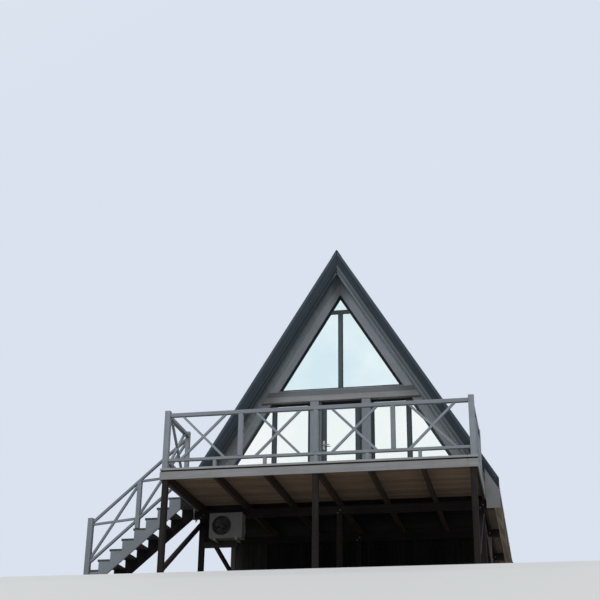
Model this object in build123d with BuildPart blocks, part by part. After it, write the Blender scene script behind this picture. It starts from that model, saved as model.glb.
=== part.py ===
from build123d import *
from math import cos, hypot, radians, sqrt, tan
import os

os.makedirs("parts", exist_ok=True)

# A timber A-frame cabin on legs. Millimetres, Z up, front towards -Y.
# The origin is the centre of the front middle leg's foot, on the ground.

# Platform
deck_height = 1850.0          # ground to the top of the deck boards
deck_width = 5500.0
board_thickness = 28.0
joist_width = 50.0
joist_depth = 150.0
joist_spaces = 6
beam_width = 100.0
beam_depth = 150.0
leg_size = 100.0
leg_inset = 20.0              # from the platform's side face
row_spacing = 2430.0
row_count = 5
brace_size = 70.0
front_brace_foot = 60.0       # above the ground, at the front legs
house_brace_foot = 850.0      # above the ground, at the other rows
store_boards = 25.0
store_boards_setback = 20.0   # behind the legs' front faces
store_boards_foot = 40.0
fascia_height = 205.0
fascia_thickness = 25.0
gap = 0.5               # between members that meet

# House and roof
house_front = 2600.0          # outer face of the front gable
house_length = 7200.0         # outer face to outer face of the gables
roof_overhang = 410.0         # beyond each gable
roof_pitch = 58.5
roof_beyond_deck = 395.0      # from the platform's side to the roof's face, at deck level
sheet_thickness = 30.0
boarding_thickness = 25.0
rafter_depth = 200.0
rafter_width = 50.0
rafter_count = 11
lining_thickness = 20.0
eave_beyond_plate = 100.0     # plumb cut of the rafter tails
sheet_drip = 30.0             # the sheets run past the rafter tails
plate_width = 150.0
verge_depth = 220.0
verge_thickness = 25.0
eave_end_drop = 375.0         # deck level to the foot of the boards that close the eaves' ends
ridge_cap_wing = 190.0
ridge_cap_thickness = 6.0
tie_depth = 150.0
loft_boards = 40.0

# Gables
gable_thickness = 120.0
rake_board_width = 155.0
storey_height = 2000.0        # floor to the underside of the lower beam
lower_beam_depth = 120.0
upper_beam_depth = 110.0
lower_beam_proud = 60.0
upper_beam_proud = 30.0
door_post_width = 175.0
door_post_proud = 50.0
doorway_width = 860.0
frame_bar = 40.0              # visible width of the dark bars along the slope
frame_thickness = 50.0
glass_thickness = 24.0
lower_frame_setback = 70.0    # behind the gable's face
upper_frame_setback = 30.0
sill_bar = 45.0
upper_mullion = 75.0
top_light_height = 273.0      # from the transom up to the point of the glass
transom_depth = 80.0
lower_bottom_bar = 80.0
lower_top_bar = 25.0
lower_stile = 50.0
lower_mullion = 80.0
lower_mullion_past = 6.0      # its outer edge past the corner of head and slope
rear_window_width = 1000.0
rear_window_height = 1000.0
rear_window_head = 200.0      # from its top to the beam
rear_boards = 60.0

# Door
jamb_width = 40.0
jamb_thickness = 70.0
threshold_height = 15.0
door_gap = 5.0
door_floor_gap = 8.0
leaf_thickness = 50.0
leaf_left_stile = 85.0
leaf_right_stile = 90.0
leaf_top_rail = 90.0
leaf_bottom_rail = 120.0
handle_height = 1110.0
handle_length = 130.0
handle_radius = 9.0
handle_neck_radius = 7.0
handle_heel = 14.0            # the lever's end beyond its neck
handle_reach = 48.0
rose_size = 44.0
rose_height = 180.0
rose_thickness = 8.0
hinge_count = 3
hinge_radius = 9.0
hinge_length = 45.0
hinge_pin_radius = 4.0
hinge_running_gap = 0.3
hinge_stand_off = 12.0        # axis beyond the jamb's inner face
hinge_plate = 34.0
hinge_plate_thickness = 3.0
hinge_end_distance = 220.0

# Railing
corner_post = 100.0
corner_post_height = 1070.0
rail_post = 80.0
handrail_height = 1020.0      # deck to the handrail's top
rail_size = 70.0
bottom_rail_height = 130.0    # deck to the bottom rail's underside
bottom_rail_depth = 50.0
cross_bar = 42.0
rail_stub = 60.0
left_rail_length = 1250.0
right_rail_length = 2000.0
front_bays = 4

# Stair
riser_count = 10
stair_going = 215.0
stair_width = 860.0
tread_thickness = 40.0
tread_nosing = 25.0
stringer_thickness = 40.0
stringer_throat = 140.0
newel_size = 100.0
newel_height = 1330.0
newel_place = 4500.0          # from the middle line
stair_post_place = 3590.0
stair_rail_size = 60.0
stair_rail_drop = 40.0        # handrail's top below the newel's top
stair_rail_top_drop = 75.0    # below the deck handrail's top, at the end post
stair_rail_spread = 740.0     # between the two rails, upright

# Cooling unit beneath the deck
unit_width = 640.0
unit_height = 480.0
unit_depth = 250.0
unit_beside_leg = 180.0       # from the leg to its left side
unit_below_joists = 122.0     # from the joists to its top
unit_wall = 3.0
fan_place = 240.0             # from the unit's left side
fan_radius = 180.0
fan_blade_count = 3
guard_wire = 6.0
guard_rings = 5
bracket_size = 40.0
bracket_inset = 90.0
panel_thickness = 25.0
hanger_inset = 150.0          # the panel's right edge inside the unit's right side
hanger_size = 80.0
girt_depth = 100.0
girt_below_unit = 10.0

# Worked out from the sizes above
half_deck = deck_width / 2
roof_half_width = half_deck + roof_beyond_deck
joist_top = deck_height - board_thickness
beam_top = joist_top - joist_depth
beam_bottom = beam_top - beam_depth
platform_front = -leg_size / 2
house_back = house_front + house_length
roof_front = house_front - roof_overhang
roof_back = house_back + roof_overhang
leg_place = half_deck - leg_inset - leg_size / 2
plate_outer = half_deck + plate_width
eave_half_width = plate_outer + eave_beyond_plate
run = 1 / tan(radians(roof_pitch))
across = sqrt(1 + run * run)
boarding_top = sheet_thickness
rafter_top = boarding_top + boarding_thickness
lining_top = rafter_top + rafter_depth
roof_inside = lining_top + lining_thickness
rake_inside = roof_inside + rake_board_width
slope_bar_inside = rake_inside + frame_bar
storey_top = deck_height + storey_height
upper_beam_foot = storey_top + lower_beam_depth
loft_level = upper_beam_foot + upper_beam_depth
handrail_top = deck_height + handrail_height
bottom_rail_foot = deck_height + bottom_rail_height
rise = deck_height / riser_count
side_fascia = half_deck + fascia_thickness
rail_line = platform_front + corner_post / 2


def face_x(depth, height):
    """Distance from the middle line to the roof layer that lies depth below its outer face."""
    return roof_half_width - depth * across - run * (height - deck_height)


def face_z(depth, place):
    """Height of that layer at a distance from the middle line."""
    return deck_height + (roof_half_width - depth * across - place) / run


def facing(y):
    """Upright plane across the cabin at y. Its extrusions grow towards the front."""
    return Plane(origin=(0, y, 0), x_dir=(1, 0, 0), z_dir=(0, -1, 0))


def sideways(x):
    """Upright plane along the cabin at x. Its extrusions grow towards the right."""
    return Plane(origin=(x, 0, 0), x_dir=(0, 1, 0), z_dir=(1, 0, 0))


def plate(points, front, back):
    """Adds an upright plate between two depths to the part being built."""
    with BuildSketch(facing(back)) as outline:
        Polygon(*points, align=None)
    extrude(outline.sketch, amount=back - front)


def side_plate(points, left, right):
    """Adds an upright plate along the cabin to the part being built."""
    with BuildSketch(sideways(left)) as outline:
        Polygon(*points, align=None)
    extrude(outline.sketch, amount=right - left)


def block(x0, x1, y0, y1, z0, z1, mode=Mode.ADD):
    """Adds a rectangular timber by its faces to the part being built, or cuts it out."""
    with Locations(((x0 + x1) / 2, (y0 + y1) / 2, (z0 + z1) / 2)):
        Box(x1 - x0, y1 - y0, z1 - z0, mode=mode)


def bar_points(start, end, width):
    """Outline of a straight bar between two points, its ends square."""
    length = hypot(end[0] - start[0], end[1] - start[1])
    dx = -(end[1] - start[1]) / length * width / 2
    dy = (end[0] - start[0]) / length * width / 2
    return [
        (start[0] + dx, start[1] + dy),
        (end[0] + dx, end[1] + dy),
        (end[0] - dx, end[1] - dy),
        (start[0] - dx, start[1] - dy),
    ]


def upright_bar_points(start, end, height):
    """Outline of a sloping bar with plumb ends."""
    return [
        (start[0], start[1]),
        (end[0], end[1]),
        (end[0], end[1] + height),
        (start[0], start[1] + height),
    ]


def mirrored(points, side):
    """The same outline on the left (-1) or the right (1)."""
    return [(side * x, z) for x, z in points]


def finish(piece, name):
    """Labels a finished piece and writes it."""
    piece.part.label = name
    export_step(piece.part, f"parts/{name}.step")


# Legs: square timbers in rows across, the front row under the platform's rim.
leg_places = [-leg_place, 0, leg_place]
rows = [row_spacing * i for i in range(row_count)]


def leg_row(y, top):
    """Adds three legs in a row."""
    for x in leg_places:
        block(
            x - leg_size / 2, x + leg_size / 2,
            y - leg_size / 2, y + leg_size / 2, 0, top,
        )


with BuildPart() as front_legs:
    leg_row(rows[0], beam_top)
    leg_row(rows[1], beam_bottom)
finish(front_legs, "front_legs")

with BuildPart() as house_legs:
    for y in rows[2:]:
        leg_row(y, beam_bottom)
finish(house_legs, "house_legs")


def brace_points(foot_y, head_y, foot_height):
    """A sloping timber from one leg up to the head of the next, cut to both legs."""
    away = 1 if head_y > foot_y else -1
    start = foot_y + away * leg_size / 2
    end = head_y - away * leg_size / 2
    slope = (beam_bottom - brace_size * 2 - foot_height) / abs(end - start)
    height = brace_size * sqrt(1 + slope * slope)
    head_height = beam_bottom - brace_size * 2
    return [
        (start, foot_height),
        (end, head_height),
        (end, head_height + height),
        (start, foot_height + height),
    ]


with BuildPart() as leg_braces:
    for x in (-leg_place, leg_place):
        left = x - brace_size / 2
        right = x + brace_size / 2
        side_plate(brace_points(rows[0], rows[1], front_brace_foot), left, right)
        for foot, head in ((2, 1), (2, 3), (4, 3)):
            side_plate(brace_points(rows[foot], rows[head], house_brace_foot), left, right)
finish(leg_braces, "leg_braces")

# Plank wall between the third row's legs, which closes the space under the house.
store_front = rows[2] - leg_size / 2 + store_boards_setback

with BuildPart() as store_wall:
    for side in (-1, 1):
        with Locations((side * leg_place / 2, store_front, store_boards_foot)):
            Box(
                leg_place - leg_size, store_boards, beam_bottom - store_boards_foot,
                align=(Align.CENTER, Align.MIN, Align.MIN),
            )
finish(store_wall, "store_wall")

# Beams across the rows, which also carry the wall plates outside the platform.
with BuildPart() as cross_beams:
    for y in rows[1:]:
        block(-plate_outer, plate_outer, y - beam_width / 2, y + beam_width / 2, beam_bottom, beam_top)
finish(cross_beams, "cross_beams")

# Joists along the cabin, closed by a rim at the front and the back.
joist_span = half_deck - joist_width / 2
joist_places = [-joist_span + 2 * joist_span / joist_spaces * i for i in range(joist_spaces + 1)]

with BuildPart() as floor_joists:
    for x in joist_places:
        block(
            x - joist_width / 2, x + joist_width / 2,
            platform_front + joist_width + gap, house_back - joist_width - gap,
            beam_top, joist_top,
        )
    for y in (platform_front, house_back - joist_width):
        block(-half_deck, half_deck, y, y + joist_width, beam_top, joist_top)
finish(floor_joists, "floor_joists")

with BuildPart() as wall_plates:
    for side in (-1, 1):
        with Locations((side * (half_deck + plate_width / 2), (roof_front + roof_back) / 2, joist_top)):
            Box(
                plate_width, roof_back - roof_front, joist_depth,
                align=(Align.CENTER, Align.CENTER, Align.MAX),
            )
finish(wall_plates, "wall_plates")

with BuildPart() as deck_boards:
    block(-half_deck, half_deck, platform_front, house_front, joist_top, deck_height)
finish(deck_boards, "deck_boards")

floor_half = face_x(roof_inside, deck_height) - 1 - gap

with BuildPart() as cabin_floor:
    block(-floor_half, floor_half, house_front, house_back, joist_top, deck_height)
finish(cabin_floor, "cabin_floor")

with BuildPart() as deck_fascia:
    block(
        -side_fascia, side_fascia,
        platform_front - fascia_thickness, platform_front,
        deck_height - fascia_height, deck_height,
    )
    for side in (-1, 1):
        with Locations((side * (half_deck + fascia_thickness / 2),
                        platform_front + gap,
                        deck_height - fascia_height / 2)):
            Box(
                fascia_thickness, roof_front - platform_front - 2 * gap, fascia_height,
                align=(Align.CENTER, Align.MIN, Align.CENTER),
            )
finish(deck_fascia, "deck_fascia")

# Rafters in pairs, notched over the wall plates, with plumb cut tails outside.
ridge_gap = gap / 2
rafter_spacing = (roof_back - roof_front - rafter_width) / (rafter_count - 1)
rafter_fronts = [roof_front + rafter_spacing * i for i in range(rafter_count)]
rafter_outline = [
    (ridge_gap, face_z(rafter_top, ridge_gap)),
    (eave_half_width, face_z(rafter_top, eave_half_width)),
    (eave_half_width, face_z(lining_top, eave_half_width)),
    (plate_outer, face_z(lining_top, plate_outer)),
    (plate_outer, joist_top),
    (face_x(lining_top, joist_top), joist_top),
    (ridge_gap, face_z(lining_top, ridge_gap)),
]

with BuildPart() as rafters:
    for y in rafter_fronts:
        for side in (-1, 1):
            plate(mirrored(rafter_outline, side), y, y + rafter_width)
finish(rafters, "rafters")


def roof_layer(top, bottom, foot):
    """Outline of one layer of the right slope, plumb cut at the ridge and at its foot."""
    return [
        (ridge_gap, face_z(top, ridge_gap)),
        (foot, face_z(top, foot)),
        (foot, face_z(bottom, foot)),
        (ridge_gap, face_z(bottom, ridge_gap)),
    ]


boarding_outline = roof_layer(boarding_top, rafter_top, eave_half_width)
sheet_outline = roof_layer(0, boarding_top, eave_half_width + sheet_drip)
lining_outline = [
    (ridge_gap, face_z(lining_top, ridge_gap)),
    (face_x(lining_top, joist_top), joist_top),
    (face_x(roof_inside, joist_top), joist_top),
    (ridge_gap, face_z(roof_inside, ridge_gap)),
]

with BuildPart() as roof_boarding:
    for side in (-1, 1):
        plate(mirrored(boarding_outline, side), roof_front, roof_back)
finish(roof_boarding, "roof_boarding")

with BuildPart() as left_roof_sheet:
    plate(mirrored(sheet_outline, -1), roof_front, roof_back)
finish(left_roof_sheet, "left_roof_sheet")

with BuildPart() as right_roof_sheet:
    plate(sheet_outline, roof_front, roof_back)
finish(right_roof_sheet, "right_roof_sheet")

with BuildPart() as roof_lining:
    for side in (-1, 1):
        plate(mirrored(lining_outline, side), roof_front, roof_back)
finish(roof_lining, "roof_lining")

# Ridge cap: a folded strip over both sheets, blunt at the top.
cap_place = ridge_cap_wing * cos(radians(roof_pitch))
cap_outer = -ridge_cap_thickness
cap_outline = [
    (-cap_place, face_z(0, cap_place)),
    (-cap_place, face_z(cap_outer, cap_place)),
    (0, face_z(cap_outer, 0)),
    (cap_place, face_z(cap_outer, cap_place)),
    (cap_place, face_z(0, cap_place)),
    (0, face_z(0, 0)),
]

with BuildPart() as ridge_cap:
    plate(cap_outline, roof_front - verge_thickness, roof_back + verge_thickness)
finish(ridge_cap, "ridge_cap")

# Verge boards on the roof's ends, one for each slope.
verge_foot = eave_half_width + sheet_drip
verge_outline = [
    (ridge_gap, face_z(0, ridge_gap)),
    (verge_foot, face_z(0, verge_foot)),
    (verge_foot, face_z(verge_depth, verge_foot)),
    (ridge_gap, face_z(verge_depth, ridge_gap)),
]

with BuildPart() as verge_boards:
    for side in (-1, 1):
        plate(mirrored(verge_outline, side), roof_front - verge_thickness, roof_front)
        plate(mirrored(verge_outline, side), roof_back, roof_back + verge_thickness)
finish(verge_boards, "verge_boards")

# Boards that close the ends of the eaves under the verges, over the wall plates' ends.
eave_end_foot = deck_height - eave_end_drop
eave_end_inner = side_fascia + gap
eave_end_outline = [
    (eave_end_inner, eave_end_foot),
    (verge_foot, eave_end_foot),
    (verge_foot, face_z(verge_depth + gap, verge_foot)),
    (eave_end_inner, face_z(verge_depth + gap, eave_end_inner)),
]

with BuildPart() as eave_end_boards:
    for side in (-1, 1):
        plate(mirrored(eave_end_outline, side), roof_front - verge_thickness, roof_front)
        plate(mirrored(eave_end_outline, side), roof_back, roof_back + verge_thickness)
finish(eave_end_boards, "eave_end_boards")

# Loft: a tie between each pair of rafters indoors, with boards on top.
gable_inside = house_front + gable_thickness
rear_inside = house_back - gable_thickness
tie_top = loft_level - loft_boards
tie_foot = tie_top - tie_depth


def between_linings(low, high, clearance):
    """Outline that fills the roof's inside between two heights."""
    return [
        (-face_x(roof_inside, low) + clearance, low),
        (face_x(roof_inside, low) - clearance, low),
        (face_x(roof_inside, high) - clearance, high),
        (-face_x(roof_inside, high) + clearance, high),
    ]


indoor_rafters = [
    y for y in rafter_fronts
    if y > gable_inside + gap and y + rafter_width < rear_inside - gap
]

with BuildPart() as loft_ties:
    for y in indoor_rafters:
        plate(between_linings(tie_foot, tie_top, 0), y, y + rafter_width)
finish(loft_ties, "loft_ties")

with BuildPart() as loft_floor:
    plate(between_linings(tie_top, loft_level, 0), gable_inside, rear_inside)
finish(loft_floor, "loft_floor")


# Gable frames: boards up the rake, two beams between the storeys.
def rake_outline(low, high):
    """A rake board of the right slope, from one height to another or to the ridge."""
    if high is None:
        return [
            (face_x(rake_inside, low), low),
            (face_x(roof_inside, low), low),
            (gap, face_z(roof_inside, gap)),
            (gap, face_z(rake_inside, gap)),
        ]
    return [
        (face_x(rake_inside, low), low),
        (face_x(roof_inside, low), low),
        (face_x(roof_inside, high), high),
        (face_x(rake_inside, high), high),
    ]


def rake_boards(front, back):
    """Adds both storeys' rake boards."""
    for side in (-1, 1):
        plate(mirrored(rake_outline(deck_height, storey_top - gap), side), front, back)
        plate(mirrored(rake_outline(loft_level + gap, None), side), front, back)


with BuildPart() as front_rake_boards:
    rake_boards(house_front, gable_inside)
finish(front_rake_boards, "front_rake_boards")

with BuildPart() as front_lower_beam:
    plate(between_linings(storey_top, upper_beam_foot, 0), house_front - lower_beam_proud, gable_inside)
finish(front_lower_beam, "front_lower_beam")

with BuildPart() as front_upper_beam:
    plate(between_linings(upper_beam_foot, loft_level, 0), house_front - upper_beam_proud, gable_inside)
finish(front_upper_beam, "front_upper_beam")

post_inner = doorway_width / 2
post_outer = post_inner + door_post_width

with BuildPart() as door_posts:
    for side in (-1, 1):
        with Locations((side * (post_inner + post_outer) / 2,
                        (house_front - door_post_proud + gable_inside) / 2,
                        deck_height + storey_height / 2)):
            Box(door_post_width, gable_thickness + door_post_proud, storey_height)
finish(door_posts, "door_posts")


# Loft windows: dark bars up both slopes, a mullion, a transom and three panes.
sill_top = loft_level + sill_bar
transom_top = face_z(slope_bar_inside, 0) - top_light_height
transom_foot = transom_top - transom_depth


def slope_x(depth, height):
    """As face_x, a joint's gap nearer the middle line."""
    return face_x(depth, height) - gap


def slope_z(depth, place):
    """As face_z, lower by the same joint's gap."""
    return face_z(depth, place + gap)


def loft_window_bars(front, back):
    """Adds the loft window's bars as separate timbers."""
    plate([
        (-slope_x(rake_inside, loft_level), loft_level),
        (slope_x(rake_inside, loft_level), loft_level),
        (slope_x(rake_inside, sill_top), sill_top),
        (-slope_x(rake_inside, sill_top), sill_top),
    ], front, back)
    for side in (-1, 1):
        plate(mirrored([
            (slope_x(slope_bar_inside, sill_top + gap), sill_top + gap),
            (slope_x(rake_inside, sill_top + gap), sill_top + gap),
            (gap, slope_z(rake_inside, gap)),
            (gap, slope_z(slope_bar_inside, gap)),
        ], side), front, back)
    inner = slope_bar_inside
    plate([
        (-slope_x(inner, transom_foot) + gap, transom_foot),
        (slope_x(inner, transom_foot) - gap, transom_foot),
        (slope_x(inner, transom_top) - gap, transom_top),
        (-slope_x(inner, transom_top) + gap, transom_top),
    ], front, back)
    block(
        -upper_mullion / 2, upper_mullion / 2, front, back,
        sill_top + gap, transom_foot - gap,
    )


def loft_window_panes(front, back):
    """Adds the two large panes and the small one at the top."""
    inner = slope_bar_inside
    for side in (-1, 1):
        plate(mirrored([
            (upper_mullion / 2 + gap, sill_top + gap),
            (slope_x(inner, sill_top + gap) - gap, sill_top + gap),
            (slope_x(inner, transom_foot - gap) - gap, transom_foot - gap),
            (upper_mullion / 2 + gap, transom_foot - gap),
        ], side), front, back)
    plate([
        (-slope_x(inner, transom_top + gap) + gap, transom_top + gap),
        (slope_x(inner, transom_top + gap) - gap, transom_top + gap),
        (0, slope_z(inner, gap)),
    ], front, back)


upper_frame_front = house_front + upper_frame_setback
upper_frame_back = upper_frame_front + frame_thickness
glass_margin = (frame_thickness - glass_thickness) / 2

with BuildPart() as loft_window_frame:
    loft_window_bars(upper_frame_front, upper_frame_back)
finish(loft_window_frame, "loft_window_frame")

with BuildPart() as loft_window_glass:
    loft_window_panes(upper_frame_front + glass_margin, upper_frame_back - glass_margin)
finish(loft_window_glass, "loft_window_glass")

# Windows beside the door: each a tall pane, a mullion and a sloping pane.
lower_front = house_front + lower_frame_setback
lower_back = lower_front + frame_thickness
bar_foot = deck_height + lower_bottom_bar
bar_head = storey_top - lower_top_bar
stile_inner = post_outer + lower_stile
mullion_far = face_x(slope_bar_inside, bar_head) + lower_mullion_past
mullion_near = mullion_far - lower_mullion


def lower_window_bars(side):
    """Adds the bars of the window on one side of the door."""
    outer = rake_inside
    inner = slope_bar_inside
    plate(mirrored([
        (post_outer + gap, deck_height),
        (slope_x(outer, deck_height), deck_height),
        (slope_x(outer, bar_foot), bar_foot),
        (post_outer + gap, bar_foot),
    ], side), lower_front, lower_back)
    plate(mirrored([
        (post_outer + gap, bar_head),
        (slope_x(outer, bar_head), bar_head),
        (slope_x(outer, storey_top - gap), storey_top - gap),
        (post_outer + gap, storey_top - gap),
    ], side), lower_front, lower_back)
    plate(mirrored([
        (post_outer + gap, bar_foot + gap),
        (stile_inner, bar_foot + gap),
        (stile_inner, bar_head - gap),
        (post_outer + gap, bar_head - gap),
    ], side), lower_front, lower_back)
    plate(mirrored([
        (slope_x(inner, bar_foot + gap), bar_foot + gap),
        (slope_x(outer, bar_foot + gap), bar_foot + gap),
        (slope_x(outer, bar_head - gap), bar_head - gap),
        (slope_x(inner, bar_head - gap), bar_head - gap),
    ], side), lower_front, lower_back)
    plate(mirrored([
        (mullion_near, bar_foot + gap),
        (mullion_far, bar_foot + gap),
        (mullion_far, slope_z(inner, mullion_far + gap)),
        (slope_x(inner, bar_head - gap) - gap, bar_head - gap),
        (mullion_near, bar_head - gap),
    ], side), lower_front, lower_back)


def lower_window_panes(side):
    """Adds the tall pane and the sloping one."""
    inner = slope_bar_inside
    front = lower_front + glass_margin
    back = lower_back - glass_margin
    plate(mirrored([
        (stile_inner + gap, bar_foot + gap),
        (mullion_near - gap, bar_foot + gap),
        (mullion_near - gap, bar_head - gap),
        (stile_inner + gap, bar_head - gap),
    ], side), front, back)
    plate(mirrored([
        (mullion_far + gap, bar_foot + gap),
        (slope_x(inner, bar_foot + gap) - gap, bar_foot + gap),
        (mullion_far + gap, slope_z(inner, mullion_far + 2 * gap)),
    ], side), front, back)


with BuildPart() as front_window_frames:
    for side in (-1, 1):
        lower_window_bars(side)
finish(front_window_frames, "front_window_frames")

with BuildPart() as front_window_glass:
    for side in (-1, 1):
        lower_window_panes(side)
finish(front_window_glass, "front_window_glass")

# Door: a frame of jambs, head and threshold, and a glazed leaf hinged on the right.
jamb_inner = post_inner - jamb_width
jamb_back = gable_inside
jamb_front = jamb_back - jamb_thickness
head_foot = storey_top - jamb_width

with BuildPart() as door_frame:
    for side in (-1, 1):
        with Locations((side * (jamb_inner + post_inner) / 2,
                        (jamb_front + jamb_back) / 2,
                        (deck_height + storey_top) / 2)):
            Box(jamb_width, jamb_thickness, storey_height)
    between = jamb_inner - gap
    block(-between, between, jamb_front, jamb_back, head_foot, storey_top)
    block(-between, between, jamb_front, jamb_back, deck_height, deck_height + threshold_height)
finish(door_frame, "door_frame")

leaf_half = jamb_inner - door_gap
leaf_foot = deck_height + threshold_height + door_floor_gap
leaf_head = head_foot - door_gap
leaf_back = jamb_back - door_gap
leaf_front = leaf_back - leaf_thickness
light_left = -leaf_half + leaf_left_stile
light_right = leaf_half - leaf_right_stile
light_foot = leaf_foot + leaf_bottom_rail
light_head = leaf_head - leaf_top_rail

with BuildPart() as door_leaf:
    block(-leaf_half, leaf_half, leaf_front, leaf_back, leaf_foot, leaf_head)
    with Locations(((light_left + light_right) / 2,
                    (leaf_front + leaf_back) / 2,
                    (light_foot + light_head) / 2)):
        Box(light_right - light_left, leaf_thickness, light_head - light_foot, mode=Mode.SUBTRACT)
finish(door_leaf, "door_leaf")

with BuildPart() as door_glass:
    block(
        light_left + gap, light_right - gap,
        leaf_front + glass_margin, leaf_back - glass_margin,
        light_foot + gap, light_head - gap,
    )
finish(door_glass, "door_glass")

# Lever handles on both faces of the left stile, on long plates.
handle_x = -leaf_half + leaf_left_stile / 2
handle_z = deck_height + handle_height

with BuildPart() as door_handle:
    for face, out in ((leaf_front, -1), (leaf_back, 1)):
        with Locations((handle_x, face + out * rose_thickness / 2, handle_z)):
            Box(rose_size, rose_thickness, rose_height)
        neck_end = face + out * handle_reach
        with BuildSketch(Plane(origin=(handle_x, face, handle_z), z_dir=(0, out, 0))):
            Circle(handle_neck_radius)
        extrude(amount=handle_reach)
        with BuildSketch(Plane(origin=(handle_x - handle_heel, neck_end, handle_z), z_dir=(1, 0, 0))):
            Circle(handle_radius)
        extrude(amount=handle_length)
finish(door_handle, "door_handle")

# Hinges: a fixed knuckle with a pin on the jamb, a turning knuckle over it on the leaf.
hinge_x = jamb_inner - door_gap / 2
hinge_y = jamb_back + hinge_stand_off
hinge_step = (leaf_head - leaf_foot - 2 * hinge_end_distance) / (hinge_count - 1)
hinge_heights = [leaf_foot + hinge_end_distance + hinge_step * i for i in range(hinge_count)]

with BuildPart() as hinge_pins:
    for z in hinge_heights:
        with Locations((hinge_x, hinge_y, z - hinge_length)):
            Cylinder(hinge_radius, hinge_length, align=(Align.CENTER, Align.CENTER, Align.MIN))
            Cylinder(
                hinge_pin_radius, 2 * hinge_length,
                align=(Align.CENTER, Align.CENTER, Align.MIN),
            )
        block(
            jamb_inner + hinge_plate_thickness, jamb_inner + hinge_plate,
            jamb_back, jamb_back + hinge_plate_thickness, z - hinge_length, z,
        )
        block(
            jamb_inner + hinge_plate_thickness, hinge_x + hinge_radius,
            jamb_back, hinge_y, z - hinge_length, z,
        )
finish(hinge_pins, "hinge_pins")

with BuildPart() as hinge_knuckles:
    for z in hinge_heights:
        with Locations((hinge_x, hinge_y, z + hinge_running_gap)):
            Cylinder(hinge_radius, hinge_length, align=(Align.CENTER, Align.CENTER, Align.MIN))
        block(
            leaf_half - hinge_plate, leaf_half - 1, leaf_back, leaf_back + hinge_plate_thickness,
            z + hinge_running_gap, z + hinge_running_gap + hinge_length,
        )
        block(
            hinge_x - hinge_radius, leaf_half - 1, leaf_back, hinge_y,
            z + hinge_running_gap, z + hinge_running_gap + hinge_length,
        )
        with Locations((hinge_x, hinge_y, z)):
            Cylinder(
                hinge_pin_radius + hinge_running_gap, hinge_length + 2,
                align=(Align.CENTER, Align.CENTER, Align.MIN), mode=Mode.SUBTRACT,
            )
finish(hinge_knuckles, "hinge_knuckles")

# Rear gable: the same frame, with boards below the beams around one window.
rear_face = house_back - upper_frame_setback

with BuildPart() as rear_gable_frame:
    rake_boards(rear_inside, house_back)
    plate(between_linings(storey_top, loft_level, 0), rear_inside, house_back + upper_beam_proud)
finish(rear_gable_frame, "rear_gable_frame")

rear_window_top = storey_top - rear_window_head
rear_window_foot = rear_window_top - rear_window_height
rear_window_half = rear_window_width / 2
rear_board_front = rear_face - rear_boards

with BuildPart() as rear_wall:
    plate([
        (-slope_x(rake_inside, deck_height), deck_height),
        (slope_x(rake_inside, deck_height), deck_height),
        (slope_x(rake_inside, storey_top - gap), storey_top - gap),
        (-slope_x(rake_inside, storey_top - gap), storey_top - gap),
    ], rear_board_front, rear_face)
    with Locations((0, (rear_board_front + rear_face) / 2, (rear_window_foot + rear_window_top) / 2)):
        Box(rear_window_width, rear_boards, rear_window_height, mode=Mode.SUBTRACT)
finish(rear_wall, "rear_wall")

with BuildPart() as rear_window_frames:
    for x in (-rear_window_half + gap, -frame_bar / 2, rear_window_half - frame_bar - gap):
        block(
            x, x + frame_bar, rear_board_front, rear_board_front + frame_thickness,
            rear_window_foot + frame_bar + 2 * gap, rear_window_top - frame_bar - 2 * gap,
        )
    for z in (rear_window_foot + gap, rear_window_top - frame_bar - gap):
        block(
            -rear_window_half + gap, rear_window_half - gap,
            rear_board_front, rear_board_front + frame_thickness, z, z + frame_bar,
        )
    loft_window_bars(rear_face - frame_thickness, rear_face)
finish(rear_window_frames, "rear_window_frames")

pane_near = frame_bar / 2 + gap
pane_far = rear_window_half - frame_bar - 2 * gap
pane_height = rear_window_height - 2 * frame_bar - 6 * gap

with BuildPart() as rear_window_glass:
    for side in (-1, 1):
        with Locations((side * (pane_near + pane_far) / 2,
                        rear_board_front + frame_thickness / 2,
                        (rear_window_foot + rear_window_top) / 2)):
            Box(pane_far - pane_near, glass_thickness, pane_height)
    loft_window_panes(rear_face - frame_thickness + glass_margin, rear_face - glass_margin)
finish(rear_window_glass, "rear_window_glass")

# Railing: corner and end posts on the deck, panels of two rails with crosses between them.
corner_x = half_deck - corner_post / 2
left_end_y = rail_line + left_rail_length
right_end_y = rail_line + right_rail_length

with BuildPart() as rail_posts:
    for side in (-1, 1):
        with Locations((side * corner_x, rail_line, deck_height)):
            Box(
                corner_post, corner_post, corner_post_height,
                align=(Align.CENTER, Align.CENTER, Align.MIN),
            )
    for x, y in ((-corner_x, left_end_y), (corner_x, right_end_y)):
        with Locations((x, y, deck_height)):
            Box(
                rail_post, rail_post, corner_post_height,
                align=(Align.CENTER, Align.CENTER, Align.MIN),
            )
finish(rail_posts, "rail_posts")

cross_foot = bottom_rail_foot + bottom_rail_depth
cross_head = handrail_top - rail_size
cross_reach = (cross_head - cross_foot) / 2


def rail_panel(start, end, end_post, bays, stubs, draw):
    """Adds a railing panel between two posts' middles, drawn by a function for its plane."""
    half = rail_size / 2
    near = start + corner_post / 2
    far = end - end_post / 2
    draw(near, far, cross_head, handrail_top, half)
    draw(near, far, bottom_rail_foot, cross_foot, half)
    bay = (end - start) / bays
    for i in range(bays):
        middle = start + bay * (i + 0.5)
        for way in (-1, 1):
            foot = (middle - way * cross_reach, cross_foot - 1)
            head = (middle + way * cross_reach, cross_head + 1)
            draw.bar(foot, head, cross_bar, cross_bar / 2)
    for i in range(1, bays):
        place = start + bay * i
        draw(place - rail_post / 2, place + rail_post / 2, cross_foot, cross_head, rail_post / 2)
    for i in range(1, stubs):
        place = start + (end - start) / stubs * i
        draw(place - rail_stub / 2, place + rail_stub / 2, deck_height, bottom_rail_foot, rail_stub / 2)


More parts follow.
